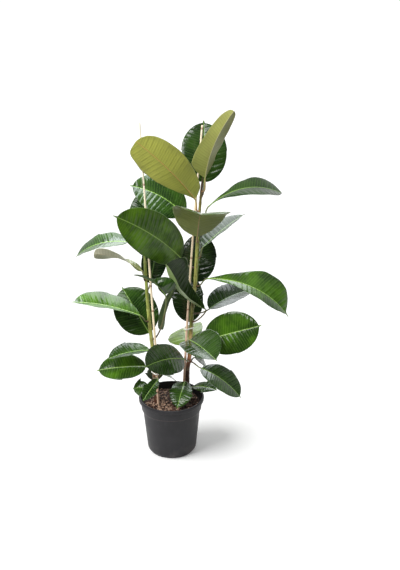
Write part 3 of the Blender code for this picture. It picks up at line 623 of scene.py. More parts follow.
def bladeMaterial(name, body, deep, rib, margin, roughness, shine, upper):
    material, tree = newMaterial(name)
    _, across, lengthShare = mapOf(tree, "leafShares")
    sizeMap, fromRib, alongBlade = mapOf(tree, "leafCm")
    out = calc(tree, "ABSOLUTE", minus(tree, times(tree, across, 2.0), 1.0))
    place = placeOf(tree)
    clouds = noiseOf(tree, place, 16, 3, 0.55)
    grain = noiseOf(tree, place, 900, 2, 0.5)
    wobble = noiseOf(tree, place, 70, 2, 0.5)
    phase = plus(tree, veinPhase(tree, fromRib, alongBlade),
                 times(tree, minus(tree, wobble, 0.5), 0.35))
    mainWave = calc(tree, "SINE", times(tree, phase, 2 * math.pi))
    fineWave = calc(tree, "SINE", times(tree, phase, 6 * math.pi))
    mainVein = span(tree, mainWave, 0.72, 1.0)
    fineVein = span(tree, fineWave, 0.55, 1.0, 0.0, 0.55)
    veins = calc(tree, "MAXIMUM", mainVein, fineVein)
    inside = span(tree, out, 0.90, 0.99, 1.0, 0.0)
    veins = times(tree, veins, inside)

    skin = mixColour(tree, span(tree, clouds, 0.34, 0.66, 0.0 if upper else 0.55), deep, body)
    skin = mixColour(tree, span(tree, out, 0.55, 1.0, 0.0, 0.35), skin, deep)
    if upper:
        veinTint = tuple(0.55 * a + 0.45 * b for a, b in zip(body, rib))
    else:
        veinTint = tuple(0.62 * a for a in body)
    skin = mixColour(tree, times(tree, veins, 0.24 if upper else 0.6), skin, veinTint)
    streaks = noiseOf(tree, place, 420, 2, 0.6)
    skin = mixColour(tree, span(tree, streaks, 0.60, 0.80, 0.0, 0.22), skin, veinTint)
    ribHalf = span(tree, lengthShare, 0.0, 1.0, 0.13, 0.05, smooth=False)
    ribShare = calc(tree, "DIVIDE", fromRib, ribHalf)
    ribMask = span(tree, ribShare, 0.72, 1.25, 1.0, 0.0)
    halo = span(tree, ribShare, 1.0, 5.0, 0.22, 0.0)
    skin = mixColour(tree, halo, skin, veinTint)
    skin = mixColour(tree, ribMask, skin, rib)
    skin = mixColour(tree, span(tree, out, 0.972, 0.992, 0.0, 0.85), skin, margin)

    low, high = roughness
    uneven = plus(tree, times(tree, clouds, 0.6), times(tree, streaks, 0.4))
    shaderOf(tree).inputs["Specular IOR Level"].default_value = shine
    raised = times(tree, veins, -1.0 if upper else 1.0)
    relief = bumpFrom(tree, raised, leafGloss["vein"], 0.75)
    # slow waves two side veins long break up the highlights, more in some places than in others
    swell = span(tree, noiseOf(tree, place, 30, 2, 0.5), 0.38, 0.62, 0.25, 1.0)
    slowWave = calc(tree, "SINE", times(tree, phase, math.pi))
    ripple = times(tree, times(tree, slowWave, inside), swell)
    relief = bumpFrom(tree, ripple, leafGloss["ripple" if upper else "underRipple"], 0.85, relief)
    relief = bumpFrom(tree, grain, leafGloss["grain"], 0.5, relief)
    return finished(material, skin, span(tree, uneven, 0.32, 0.68, low, high), relief)


def stalkMaterial(name, stalk, foot):
    material, tree = newMaterial(name)
    _, across, lengthShare = mapOf(tree, "leafShares")
    place = placeOf(tree)
    streaks = noiseOf(tree, place, 500, 3, 0.6)
    blush = noiseOf(tree, place, 60, 2, 0.5)
    skin = mixColour(tree, span(tree, lengthShare, -1.0, -0.15), foot, stalk)
    skin = mixColour(tree, span(tree, blush, 0.45, 0.7, 0.0, 0.5), skin, foot)
    pale = tuple(1.6 * part for part in stalk)
    skin = mixColour(tree, span(tree, streaks, 0.55, 0.75, 0.0, 0.35), skin, pale)
    roughness = span(tree, blush, 0.3, 0.7, 0.34, 0.5)
    return finished(material, skin, roughness, bumpFrom(tree, streaks, 0.0004, 0.5))


def leafMaterials(look):
    colours = leafLooks[look]
    title = look.capitalize()
    shine = leafGloss["shine"].get(look, leafGloss["plainShine"])
    return [
        bladeMaterial(f"leafTop{title}", colours["top"], colours["deep"], colours["rib"],
                      colours["margin"], leafGloss["topRoughness"], shine, True),
        bladeMaterial(f"leafUnder{title}", colours["under"], colours["underDeep"], colours["underRib"],
                      colours["margin"], leafGloss["underRoughness"], leafGloss["plainShine"], False),
        stalkMaterial(f"leafStalk{title}", colours["stalk"], colours["stalkFoot"]),
    ]


def turnAbout(vector, axis, angle):
    return (vector * math.cos(angle) + np.cross(axis, vector) * math.sin(angle)
            + axis * axis.dot(vector) * (1 - math.cos(angle)))


def eased(rows, column, share):
    # smooth between the rows, without swinging past any of them
    places = [row[0] for row in rows]
    values = [row[column] for row in rows]
    climbs = [(b - a) / (q - p) for p, q, a, b in zip(places, places[1:], values, values[1:])]
    slopes = [climbs[0]]
    for before, after in zip(climbs, climbs[1:]):
        slopes.append(2 * before * after / (before + after) if before * after > 0 else 0.0)
    slopes.append(climbs[-1])
    i = max(k for k in range(len(places) - 1) if places[k] <= share or k == 0)
    gap = places[i + 1] - places[i]
    t = min(1.0, (share - places[i]) / gap)
    start = (1 + 2 * t) * values[i] + t * gap * slopes[i]
    end = (3 - 2 * t) * values[i + 1] - (1 - t) * gap * slopes[i + 1]
    return (1 - t) ** 2 * start + t ** 2 * end


def turnAt(plan, share):
    return 0.0 if plan["turns"] is None else eased(plan["turns"], 1, share)


def midribAt(plan, share):
    base, tip, face = (np.array(plan[key], dtype=float) for key in ("base", "tip", "face"))
    chord = tip - base
    up = unit(face - chord * face.dot(chord) / chord.dot(chord))
    right = unit(np.cross(chord, up))
    lift = 4 * share * (1 - share)
    slope = 4 * (1 - 2 * share)
    end = max(0.0, (share - 0.7) / 0.3)
    bowed = up * plan["bow"] + right * plan["sweep"]
    point = base + chord * share + bowed * lift + up * plan["nod"] * end ** 2
    bend = bowed * slope + up * plan["nod"] * 2 * end / 0.3
    heading = unit(chord + bend)
    normal = unit(up - heading * up.dot(heading))
    normal = turnAbout(normal, heading, math.radians(turnAt(plan, share)))
    return point, heading, np.cross(heading, normal), normal


def halfWidths(plan, share):
    if plan["edges"] is not None:
        return eased(plan["edges"], 1, share) / 1000, eased(plan["edges"], 2, share) / 1000
    drip = leafDetail["dripTip"]
    tipHalf = 0.0036 * max(0.0, 1.0 - share) / (drip + 0.02) + 0.0007
    if share >= 1 - drip:
        return tipHalf, tipHalf
    place = (share / (1 - drip)) ** (math.log(0.5) / math.log(plan["widest"]))
    body = plan["width"] / 2 * (1 - abs(2 * place - 1) ** 2.3) ** 0.6
    half = max(body, leafDetail["stalkRadius"]) if share < 0.5 else (body ** 3 + tipHalf ** 3) ** (1 / 3)
    return half, half


marginSteps = np.array((0.07, 0.17, 0.28, 0.40, 0.52, 0.63, 0.73, 0.82, 0.90, 0.96, 1.0))


def acrossHalf(half):
    ribEnd = min(0.0034, half * 0.4)
    return np.concatenate([ribEnd * np.array((0.3, 0.62, 1.0)), ribEnd + (half - ribEnd) * marginSteps])


def bladeRing(plan, share, length, shifts):
    detail = leafDetail
    point, heading, right, normal = midribAt(plan, share)
    leftHalf, rightHalf = halfWidths(plan, share)
    fold = math.radians(plan["fold"])
    x = np.concatenate([-acrossHalf(leftHalf)[::-1], [0.0], acrossHalf(rightHalf)])
    half = np.where(x < 0, leftHalf, rightHalf)
    out = np.abs(x) / half
    side = np.sign(x)
    rise = half * (math.sin(fold) * (np.sqrt(out ** 2 + 0.0016) - 0.04) - detail["marginTurn"] * out ** 2)
    size = plan["width"] / 0.12
    wave = 0.6 * np.sin(2 * math.pi * (1.3 * share + shifts[0]) + 0.9 * side)
    wave += 0.4 * np.sin(2 * math.pi * (3.4 * share + shifts[1]) + 2.3 * side)
    wave *= detail["wave"] * size * out ** 2 * math.sqrt(max(0.0, math.sin(math.pi * share)))
    phase = (share * length - detail["veinSlant"] * np.abs(x)) / detail["veinGap"]
    quilt = -detail["veinRelief"] * np.sin(2 * math.pi * phase)
    quilt *= (1 - bell(x, 0.006)) * (1 - out ** 6) * min(1.0, share * 12)
    middle = rise + wave + quilt
    edge = np.sqrt(np.clip(1 - out ** 8, 0, 1)) * (1 - 0.4 * share)
    taper = 1 - 0.65 * share
    skin = detail["thickness"] / 2 * edge
    upper = middle + skin - detail["groove"] * taper * bell(x, 0.0014)
    lower = middle - skin - detail["ribDepth"] * taper * bell(x, detail["ribWidth"])
    flat = x * math.cos(fold)
    count = len(x)
    ring = [point + right * a + normal * b for a, b in zip(flat, upper)]
    ring += [point + right * a + normal * b for a, b in zip(flat[-2:0:-1], lower[-2:0:-1])]
    ring = np.array(ring)
    shares = np.concatenate([x / half, (x / half)[-2:0:-1]])
    distances = np.abs(np.concatenate([x, x[-2:0:-1]]))
    blend = smoothStep(share, 0.0, 0.022)
    if blend < 1:
        ring = ring * blend + roundRing(point, right, normal, detail["stalkRadius"], count) * (1 - blend)
    return ring, shares, distances


def roundRing(point, right, normal, radius, count):
    angles = np.concatenate([np.linspace(math.pi, 0, count), np.linspace(0, -math.pi, count)[1:-1]])
    return np.array([point + radius * (right * math.cos(a) + normal * 0.94 * math.sin(a)) for a in angles])


def stalkRings(plan, count):
    stem = stems[plan["stem"]]
    axis, stemRadius = along(stem["path"], stem["radii"], plan["node"])
    base, heading, _, normal = midribAt(plan, 0.0)
    toBase = base - axis
    angle = math.atan2(toBase[1], toBase[0]) if plan["leave"] is None else math.radians(plan["leave"])
    out = np.array((math.cos(angle), math.sin(angle), 0.0))
    start = axis + out * (stemRadius - 0.0012)
    reach = np.linalg.norm(base - start) * plan["reach"]
    handles = [start, start + out * reach, base - heading * reach, base]
    rings = []
    for share in np.arange(leafDetail["stalkSteps"]) / leafDetail["stalkSteps"]:
        rest = 1 - share
        place = (handles[0] * rest ** 3 + handles[1] * 3 * rest ** 2 * share
                 + handles[2] * 3 * rest * share ** 2 + handles[3] * share ** 3)
        way = unit((handles[1] - handles[0]) * rest ** 2 + (handles[2] - handles[1]) * 2 * rest * share
                   + (handles[3] - handles[2]) * share ** 2)
        rings.append((share, place, way))
    shaped = []
    for share, place, way in reversed(rings):
        normal = unit(normal - way * normal.dot(way))
        radius = leafDetail["stalkRadius"] * (1 + 0.10 * (1 - share) + 0.55 * bell(share, 0.10))
        shaped.append((share, roundRing(place, np.cross(way, normal), normal, radius, count)))
    shaped.reverse()
    return shaped, np.linalg.norm(base - start)


def bladeShares():
    steps = leafDetail["bladeSteps"]
    even = np.linspace(0, 1, steps)
    near = np.array((0.0015, 0.0035, 0.006, 0.013, 0.985, 0.993, 0.997))
    return np.unique(np.concatenate([even, near]))


def makeLeaf(nodeName, plan, materials, number):
    draw = np.random.default_rng(100 + number)
    shifts = draw.uniform(0, 1, 2)
    length = np.linalg.norm(np.array(plan["tip"], dtype=float) - np.array(plan["base"], dtype=float))
    count = 2 * len(acrossHalf(0.05)) + 1
    around = 2 * count - 2
    points, sharesMap, cmMap = [], [], []
    stalk, stalkLength = stalkRings(plan, count)
    for share, ring in stalk:
        points.extend(ring)
        for j in range(around):
            sharesMap.append((j / around, share - 1.0))
            cmMap.append((j / around, (share - 1.0) * stalkLength * 100))
    for share in bladeShares():
        ring, acrossRow, distances = bladeRing(plan, share, length, shifts)
        points.extend(ring)
        for across, distance in zip(acrossRow, distances):
            sharesMap.append((0.5 + 0.5 * across, share))
            cmMap.append((distance * 100, share * length * 100))
    rings = len(points) // around
    faces = loftFaces(rings, around)
    slots = []
    for i in range(rings - 1):
        for j in range(around):
            slots.append(2 if i < len(stalk) else 0 if j < count - 1 else 1)
    faces.append(tuple(reversed(range(around))))
    faces.append(tuple(range((rings - 1) * around, rings * around)))
    slots += [2, 0]
    first, *rest = nodeName.split("_")
    title = first + "".join(word.capitalize() for word in rest)
    piece = makePiece(title, points, faces, materials, slots,
                      {"leafShares": sharesMap, "leafCm": cmMap})
    return settle(piece, nodeName)


# pot
pot = dict(
    height=0.187, rimRadius=0.105, wall=0.0024, rimDrop=0.012, collar=0.040, collarRadius=0.0985,
    collarStep=0.0022, footRadius=0.0725, footWidth=0.010, rounding=0.014, discRadius=0.026, lift=0.005,
    around=144, drainHoles=6, drainRadius=0.006, drainCircle=0.044,
)


def wallRadius(height):
    foot = pot["footRadius"] + 0.006
    top = pot["collarRadius"] - pot["collarStep"] - 0.004
    return foot + (top - foot) * height / (pot["height"] - pot["collar"])


def arcPoints(centre, radius, start, end, steps):
    angles = np.radians(np.linspace(start, end, steps + 1))
    return [(centre[0] + radius * math.cos(a), centre[1] + radius * math.sin(a)) for a in angles]


def between(first, second, steps):
    first, second = np.array(first), np.array(second)
    return [tuple(first + (second - first) * i / steps) for i in range(1, steps)]


def potProfile():
    # runs from the middle of the inner floor up the inside, over the lip, down the outside and under
    wall, foot = pot["wall"], pot["height"] - pot["collar"]
    lip = pot["height"] - pot["rimDrop"]
    inner = pot["lift"] + wall
    inside = [(0.0, inner), (0.030, inner), (pot["footRadius"] - 0.006, inner)]
    inside += arcPoints((wallRadius(0.020) - wall - 0.011, 0.0185), 0.011, -80, -4, 6)
    inside += between(inside[-1], (wallRadius(foot) - wall, foot), 8)
    inside += [(wallRadius(foot) - wall, foot), (pot["collarRadius"] - 0.004 - wall, foot + 0.003),
               (pot["collarRadius"] - wall, lip), (pot["collarRadius"] + 0.0005, pot["height"] - 0.002)]
    rim = arcPoints((pot["rimRadius"] - 0.0040, pot["height"] - 0.0040), 0.0040, 115, 0, 9)
    rim += [(pot["rimRadius"] - 0.0002, lip + 0.0045), (pot["rimRadius"] - 0.0005, lip + 0.0015)]
    rim += arcPoints((pot["rimRadius"] - 0.0020, lip + 0.0012), 0.0015, -10, -90, 4)
    collarLow = pot["collarRadius"] - 0.0020
    outside = [(pot["collarRadius"] + 0.0018, lip - 0.0006), (pot["collarRadius"] + 0.0010, lip - 0.0018),
               (pot["collarRadius"] + 0.0008, lip - 0.004), (collarLow + 0.0006, foot + 0.006)]
    outside += [(collarLow, foot + 0.0022)]
    outside += arcPoints((collarLow - 0.0012, foot + 0.0012), 0.0012, 0, -80, 4)
    outside += [(wallRadius(foot) + 0.0006, foot - 0.0002), (wallRadius(foot), foot - 0.0012)]
    outside += between(outside[-1], (wallRadius(pot["rounding"] + 0.002), pot["rounding"] + 0.002), 12)
    corner = arcPoints((wallRadius(pot["rounding"]) - pot["rounding"], pot["rounding"]),
                       pot["rounding"], -3, -68, 10)
    bottom = pot["footRadius"] - pot["footWidth"]
    under = [(pot["footRadius"] + 0.0008, 0.0003), (pot["footRadius"], 0.0), (bottom + 0.0006, 0.0),
             (bottom, 0.0004), (bottom - 0.0020, pot["lift"] - 0.0006), (bottom - 0.0026, pot["lift"])]
    middle = pot["discRadius"]
    under += [(middle + 0.0026, pot["lift"]), (middle + 0.0020, pot["lift"] - 0.0006),
              (middle + 0.0004, 0.0004), (middle, 0.0), (0.0, 0.0)]
    return inside + rim + outside + corner + under


def potMaterial():
    material, tree = newMaterial("potPlastic")
    place = placeOf(tree)
    split = tree.nodes.new("ShaderNodeSeparateXYZ")
    tree.links.new(place, split.inputs[0])
    height = split.outputs[2]
    grain = noiseOf(tree, place, 1400, 2, 0.6)
    clouds = noiseOf(tree, place, 22, 4, 0.6)
    flow = noiseOf(tree, place, 90, 3, 0.5, stretch=(1, 1, 0.12))
    scuffs = noiseOf(tree, place, 260, 4, 0.7, stretch=(1, 1, 3.5))
    skin = mixColour(tree, span(tree, clouds, 0.35, 0.68), (0.014, 0.0135, 0.015), (0.020, 0.019, 0.021))
    skin = mixColour(tree, span(tree, flow, 0.55, 0.78, 0.0, 0.35), skin, (0.030, 0.029, 0.032))
    stepLine = pot["height"] - pot["collar"]
    aboveStep = calc(tree, "ABSOLUTE", minus(tree, height, stepLine))
    nearStep = span(tree, aboveStep, 0.0004, 0.0030, 1.0, 0.0)
    skin = mixColour(tree, times(tree, nearStep, 0.5), skin, (0.085, 0.060, 0.055))
    nearRim = span(tree, height, 0.165, 0.187, 0.12, 0.8)
    rubbed = times(tree, span(tree, scuffs, 0.64, 0.78), nearRim)
    skin = mixColour(tree, rubbed, skin, (0.13, 0.125, 0.13))
    dust = times(tree, span(tree, clouds, 0.48, 0.74), span(tree, height, 0.05, 0.0, 0.0, 0.4))
    skin = mixColour(tree, dust, skin, (0.12, 0.105, 0.095))
    rough = plus(tree, span(tree, clouds, 0.3, 0.7, 0.40, 0.52), times(tree, rubbed, 0.2))
    shaderOf(tree).inputs["Specular IOR Level"].default_value = 0.28
    relief = bumpFrom(tree, flow, 0.0006, 0.25)
    return finished(material, skin, rough, bumpFrom(tree, grain, 0.00015, 0.5, relief))


def makePot():
    profile = potProfile()
    around = pot["around"]
    rows = profile[1:-1]
    turns = np.linspace(0, 2 * math.pi, around, endpoint=False)
    points = [(r * math.cos(t), r * math.sin(t), z) for r, z in rows for t in turns]
    faces = [tuple(reversed(face)) for face in loftFaces(len(rows), around)]
    top, low = len(points), len(points) + 1
    points += [(0, 0, profile[0][1]), (0, 0, profile[-1][1])]
    last = (len(rows) - 1) * around
    for j in range(around):
        k = (j + 1) % around
        faces.append((top, j, k))
        faces.append((low, last + k, last + j))
    body = makePiece("nurseryPot", points, faces, [potMaterial()])
    cutters = []
    for i in range(pot["drainHoles"]):
        angle = 2 * math.pi * (i + 0.53) / pot["drainHoles"]
        spot = (pot["drainCircle"] * math.cos(angle), pot["drainCircle"] * math.sin(angle), pot["lift"])
        bpy.ops.mesh.primitive_cylinder_add(
            vertices=32, radius=pot["drainRadius"], depth=0.02, location=spot)
        cutter = bpy.context.object
        cut = body.modifiers.new("drain", "BOOLEAN")
        cut.operation = "DIFFERENCE"
        cut.object = cutter
        cutters.append(cutter)
    bpy.context.view_layer.update()
    graph = bpy.context.evaluated_depsgraph_get()
    whole = bpy.data.meshes.new_from_object(body.evaluated_get(graph))
    body.modifiers.clear()
    body.data = whole
    for cutter in cutters:
        bpy.data.objects.remove(cutter, do_unlink=True)
    whole.shade_smooth()
    whole.set_sharp_from_angle(angle=math.radians(38))
    return settle(body, "pot")


# soil, with pieces of bark lying on it
soil = dict(top=0.166, dome=0.004, relief=0.0034, rings=44, around=150, chips=620, chipSeed=7,
            chipSides=7, chipLevels=((-1.0, 0.80), (-0.45, 1.0), (0.45, 0.98), (1.0, 0.74)))


def crumbMaterial(name, dark, light, roughness):
    material, tree = newMaterial(name)
    place = placeOf(tree)
    coarse = noiseOf(tree, place, 130, 5, 0.65)
    fine = noiseOf(tree, place, 900, 4, 0.7)
    fibres = noiseOf(tree, place, 480, 3, 0.6, stretch=(1, 0.25, 1))
    skin = mixColour(tree, span(tree, coarse, 0.35, 0.66), dark, light)
    skin = mixColour(tree, span(tree, fibres, 0.52, 0.72, 0.0, 0.5), skin, tuple(1.5 * c for c in light))
    skin = mixColour(tree, span(tree, fine, 0.54, 0.70, 0.0, 0.6), skin, tuple(0.35 * c for c in dark))
    relief = bumpFrom(tree, coarse, 0.0022, 0.7)
    rough = span(tree, coarse, 0.3, 0.7, roughness - 0.1, roughness)
    return finished(material, skin, rough, bumpFrom(tree, fine, 0.0007, 0.8, relief))


def soilHeight(x, y):
    radius = math.hypot(x, y)
    spot = Vector((x * 120, y * 120, 0.4))
    lumps = noise.noise(spot) + 0.55 * noise.noise(spot * 2.3) + 0.3 * noise.noise(spot * 5.1)
    return soil["top"] + soil["dome"] * max(0.0, 1 - (radius / 0.09) ** 2) + soil["relief"] * 0.55 * lumps


def makeSoil():
    wall = pot["wall"] + 0.0007
    points = []
    turns = np.linspace(0, 2 * math.pi, soil["around"], endpoint=False)
    edge = wallRadius(pot["height"] - pot["collar"]) - wall + 0.0012
    for i in range(soil["rings"]):
        radius = edge * (i + 1) / soil["rings"]
        for turn in turns:
            x, y = radius * math.cos(turn), radius * math.sin(turn)
            points.append((x, y, soilHeight(x, y)))
    for level in (0.158, 0.148, 0.10, 0.05, 0.0215):
        radius = min(edge, wallRadius(min(level, 0.146)) - wall)
        points.extend((radius * math.cos(turn), radius * math.sin(turn), level) for turn in turns)
    points.extend((0.062 * math.cos(turn), 0.062 * math.sin(turn), pot["lift"] + pot["wall"] + 0.0004)
                  for turn in turns)
    rows = len(points) // soil["around"]
    faces = loftFaces(rows, soil["around"])
    centre, under = len(points), len(points) + 1
    points += [(0, 0, soilHeight(0, 0)), (0, 0, pot["lift"] + pot["wall"] + 0.0004)]
    last = (rows - 1) * soil["around"]
    for j in range(soil["around"]):
        k = (j + 1) % soil["around"]
        faces.append((centre, k, j))
        faces.append((under, last + j, last + k))
    faces = [tuple(reversed(face)) for face in faces]
    slots = [0] * len(faces)

    sides = soil["chipSides"]
    levels = len(soil["chipLevels"])
    draw = np.random.default_rng(soil["chipSeed"])
    for i in range(soil["chips"]):
        reach = edge * math.sqrt(draw.uniform(0, 0.93))
        turn = draw.uniform(0, 2 * math.pi)
        x, y = reach * math.cos(turn), reach * math.sin(turn)
        pale = draw.uniform(0, 1) < (0.62 if x < -0.01 else 0.30)
        size = draw.uniform(0.0022, 0.0058) * (1.15 if i % 9 == 0 else 0.85)
        length = size * draw.uniform(0.9, 1.7)
        width = size * draw.uniform(0.45, 0.9)
        thick = size * draw.uniform(0.22, 0.5)
        yaw = draw.uniform(0, 2 * math.pi)
        tilt, roll = draw.uniform(-0.5, 0.5, 2)
        start = len(points)
        z = soilHeight(x, y) + thick * draw.uniform(0.1, 0.8)
        for px, py, pz in chipPoints(length, width, thick, draw):
            lifted = z + pz + px * math.sin(tilt) + py * math.sin(roll)
            turnedX = px * math.cos(yaw) - py * math.sin(yaw)
            turnedY = px * math.sin(yaw) + py * math.cos(yaw)
            points.append((x + turnedX, y + turnedY, lifted))
        chipFaces = loftFaces(levels, sides)
        chipFaces.append(tuple(reversed(range(sides))))
        chipFaces.append(tuple(range((levels - 1) * sides, levels * sides)))
        faces += [tuple(start + j for j in face) for face in chipFaces]
        slots += [2 if pale else 1] * len(chipFaces)
    materials = [
        crumbMaterial("soilPeat", (0.012, 0.007, 0.005), (0.042, 0.022, 0.015), 0.97),
        crumbMaterial("barkDark", (0.030, 0.014, 0.009), (0.110, 0.052, 0.034), 0.90),
        crumbMaterial("barkPale", (0.19, 0.11, 0.075), (0.46, 0.31, 0.22), 0.88),
    ]
    piece = makePiece("pottingSoil", points, faces, materials, slots)
    piece.data.set_sharp_from_angle(angle=math.radians(42))
    return settle(piece, "soil")


def chipPoints(length, width, thick, draw):
    corners = []
    sides = soil["chipSides"]
    spread = draw.uniform(0.75, 1.15, sides)
    for level, shrink in soil["chipLevels"]:
        for j in range(sides):
            angle = 2 * math.pi * j / sides
            corners.append((length * shrink * spread[j] * math.cos(angle),
                            width * shrink * spread[j] * math.sin(angle),
                            thick * (level + draw.uniform(-0.12, 0.12))))
    return corners


# ties: a soft plastic ring round each stem and its cane
ties = {"left": dict(height=0.280), "right": dict(height=0.405)}
tieShape = dict(thick=0.0010, tall=0.0019, steps=72, around=14, clasp=(0.0032, 0.0020, 0.0030))


def tieMaterial():
    material, tree = newMaterial("tiePlastic")
    place = placeOf(tree)
    marks = noiseOf(tree, place, 320, 3, 0.6)
    ribs = noiseOf(tree, place, 1500, 2, 0.5, stretch=(0.3, 0.3, 1))
    skin = mixColour(tree, span(tree, marks, 0.45, 0.72), (0.82, 0.81, 0.76), (0.66, 0.64, 0.57))
    roughness = span(tree, marks, 0.3, 0.7, 0.30, 0.46)
    return finished(material, skin, roughness, bumpFrom(tree, ribs, 0.0003, 0.5))


def makeTie(side, material):
    height = ties[side]["height"]
    stem, stemRadius = along(stems[side]["path"], stems[side]["radii"], height)
    cane, caneRadius = along(canes[side]["path"], caneRadii(canes[side]), height)
    middle = (stem + cane) / 2
    way = unit((stem - cane) * np.array((1, 1, 0)))
    across = unit(np.cross((0, 0, 1), way))
    half = np.linalg.norm((stem - cane)[:2]) / 2
    reach = max(stemRadius, caneRadius) + 0.0019
    steps, around = tieShape["steps"], tieShape["around"]
    points = []
    for i in range(steps):
        angle = 2 * math.pi * i / steps
        shift = half * np.clip(math.cos(angle) * 4, -1, 1)
        outward = way * math.cos(angle) + across * math.sin(angle)
        centre = middle + way * shift + outward * reach
        swell = 1 + 0.5 * bell(math.remainder(angle - math.pi * 0.62, 2 * math.pi), 0.16)
        for j in range(around):
            turn = 2 * math.pi * j / around
            inner = abs(math.cos(turn)) ** 0.6 * math.copysign(1, math.cos(turn))
            upward = abs(math.sin(turn)) ** 0.6 * math.copysign(1, math.sin(turn))
            points.append(centre + outward * inner * tieShape["thick"] * swell
                          + np.array((0, 0, 1.0)) * upward * tieShape["tall"] * swell)
    faces = loftFaces(steps, around)
    for j in range(around):
        k = (j + 1) % around
        last = (steps - 1) * around
        faces.append((last + j, last + k, k, j))
    piece = makePiece(f"tie{side.capitalize()}", points, faces, [material])
    return settle(piece, f"tie_{side}")


# building it all
print("building the pot and its soil")
makePot()
makeSoil()
print("building stems, canes and ties")
for side in ("left", "right"):
    makeStem(side)
    makeCane(side)
tieSkin = tieMaterial()
for side in ("left", "right"):
    makeTie(side, tieSkin)
print("building the leaves")
lookMaterials = {look: leafMaterials(look) for look in leafLooks}
for number, (nodeName, plan) in enumerate(leaves.items()):
    makeLeaf(nodeName, plan, lookMaterials[plan["look"]], number)

# floor, light and camera
studio = dict(
    floorSize=60.0, floorFront=-0.7, floorGlow=0.12, floorColour=(0.92, 0.92, 0.915),
    bandStrength=1.06, bandTop=0.10, bandFade=0.26, backStrength=1.10, frontStrength=0.06,
    topStrength=0.50, keyStrength=3.6, keyAngle=30, keyTurn=(30, -42, 0), floorSun=3.4,
    floorSunAngle=44, floorSunTurn=(14, -44, 0), plantMiddle=(0.0, 0.0, 0.6),
)


def makeFloor():
    half = studio["floorSize"] / 2
    mesh = bpy.data.meshes.new("studioFloor")
    low = cadBox[0][2] - 0.0002
    front = studio["floorFront"]
    mesh.from_pydata([(-half, front, low), (half, front, low), (half, half, low), (-half, half, low)], [],
                     [(0, 1, 2, 3)])
    material, tree = newMaterial("paleFloor")
    shader = shaderOf(tree)
    tone = noiseOf(tree, placeOf(tree), 3.0, 2, 0.5)
    pale = mixColour(tree, tone, studio["floorColour"], tuple(0.99 * c for c in studio["floorColour"]))
    feed(tree, shader.inputs["Base Color"], pale)
    shader.inputs["Roughness"].default_value = 0.9
    shader.inputs["Specular IOR Level"].default_value = 0.15
    shader.inputs["Emission Color"].default_value = (1, 1, 1, 1)
    shader.inputs["Emission Strength"].default_value = studio["floorGlow"]
    mesh.materials.append(material)
    floor = bpy.data.objects.new("studioFloor", mesh)
    bpy.context.scene.collection.objects.link(floor)


def makeWorld():
    world = bpy.data.worlds.new("studioWorld")
    bpy.context.scene.world = world
    world.use_nodes = True
    tree = world.node_tree
    background = tree.nodes["Background"]
    coords = tree.nodes.new("ShaderNodeTexCoord")
    split = tree.nodes.new("ShaderNodeSeparateXYZ")
    tree.links.new(coords.outputs["Generated"], split.inputs[0])
    deep, height = split.outputs[1], split.outputs[2]
    # a pale wall behind the plant, white near the floor, and a dim room on the other side
    wall = span(tree, deep, -0.35, 0.75, studio["frontStrength"], studio["backStrength"])
    room = mixTo(tree, span(tree, height, 0.45, 0.95), wall, studio["topStrength"])
    band = span(tree, deep, -0.45, 0.10, studio["frontStrength"], studio["bandStrength"])
    glow = mixTo(tree, span(tree, height, studio["bandTop"], studio["bandFade"]), band, room)
    # looked at directly, the room is pale on every side
    seen = tree.nodes.new("ShaderNodeLightPath").outputs["Is Camera Ray"]
    background.inputs["Color"].default_value = (0.985, 0.99, 1.0, 1.0)
    feed(tree, background.inputs["Strength"], mixTo(tree, seen, glow, studio["bandStrength"]))


def pieceGroup(name, pieces, leftOut=False):
    # a lamp works on the pieces of its group alone, or on all but those
    group = bpy.data.collections.new(name)
    for piece in pieces:
        group.objects.link(bpy.data.objects[piece])
    for row in group.collection_objects:
        row.light_linking.link_state = "EXCLUDE" if leftOut else "INCLUDE"
    return group


def keepOff(lamp, *pieces):
    lamp.light_linking.receiver_collection = pieceGroup(lamp.name + "Unlit", pieces, leftOut=True)


def shineOn(lamp, *pieces):
    lamp.light_linking.receiver_collection = pieceGroup(lamp.name + "Lit", pieces)


def makeSun(name, strength, angle, turn):
    sun = bpy.data.lights.new(name, "SUN")
    sun.energy = strength
    sun.angle = math.radians(angle)
    lamp = bpy.data.objects.new(name, sun)
    lamp.rotation_euler = [math.radians(part) for part in turn]
    bpy.context.scene.collection.objects.link(lamp)
    return lamp


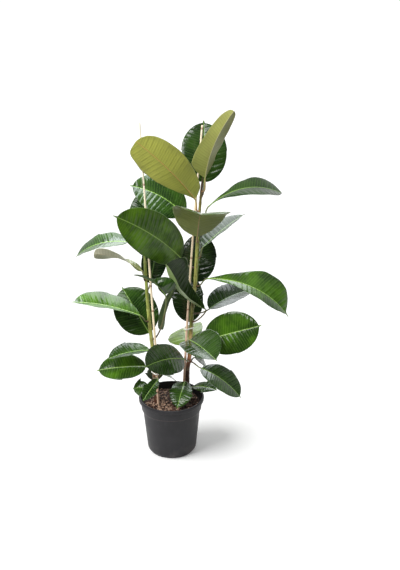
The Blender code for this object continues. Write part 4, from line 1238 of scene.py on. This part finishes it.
def areaLight(name, place, size, power, colour=(1, 1, 1), target=studio["plantMiddle"]):
    light = bpy.data.lights.new(name, "AREA")
    light.shape = "RECTANGLE"
    light.size, light.size_y = size
    light.energy = power
    light.color = colour
    lamp = bpy.data.objects.new(name, light)
    lamp.location = place
    lamp.rotation_euler = (Vector(target) - Vector(place)).to_track_quat("-Z", "Y").to_euler()
    bpy.context.scene.collection.objects.link(lamp)
    return lamp


def makeLights():
    # the plant's own lights leave the floor alone, so that it stays even
    key = makeSun("keyLight", studio["keyStrength"], studio["keyAngle"], studio["keyTurn"])
    key.visible_glossy = False  # the boxes make the highlights
    keepOff(key, "studioFloor")
    # the young leaves at the top throw no shadow on the broad one under them
    young = ("rightLeafGold", "rightLeafOlive", "rightLeafTall")
    key.light_linking.blocker_collection = pieceGroup("keyClear", young, leftOut=True)
    backBox = areaLight("backBox", (0.0, 1.9, 2.9), (2.6, 2.8), 100, (0.92, 0.96, 1.0))
    keepOff(backBox, "studioFloor", "rightLeafSide")
    frontBox = areaLight("frontBox", (-0.3, -1.35, 2.3), (1.0, 0.9), 26)
    keepOff(frontBox, "studioFloor", "rightLeafUpturned", "rightLeafFrontLeft")
    topBox = areaLight("topBox", (-0.1, -0.1, 2.4), (1.7, 1.5), 80, (0.90, 0.95, 1.0), (-0.1, 0.0, 0.6))
    shineOn(topBox, "rightLeafRearLeft", "leftLeafLong", "leftLeafDrooping", "leftLeafKhaki",
            "leftLeafBroad", "leftLeafFolded")
    # this one lights the floor alone, where only the pot throws a shadow
    floorLight = makeSun("floorLight", studio["floorSun"], studio["floorSunAngle"], studio["floorSunTurn"])
    shineOn(floorLight, "studioFloor")
    floorLight.light_linking.blocker_collection = pieceGroup("floorShading", ["nurseryPot"])


camera = dict(place=(0.092, -2.13, 1.35), tilt=69.8, lens=47.05)


def makeCamera():
    lens = bpy.data.cameras.new("camera")
    lens.sensor_width = 36
    lens.lens = camera["lens"]
    lens.clip_end = 200
    eye = bpy.data.objects.new("camera", lens)
    eye.location = camera["place"]
    eye.rotation_euler = (math.radians(camera["tilt"]), 0, 0)
    bpy.context.scene.collection.objects.link(eye)
    bpy.context.scene.camera = eye


print("setting up floor, light and camera")
makeFloor()
makeWorld()
makeLights()
makeCamera()
bpy.context.scene.view_settings.view_transform = "Standard"
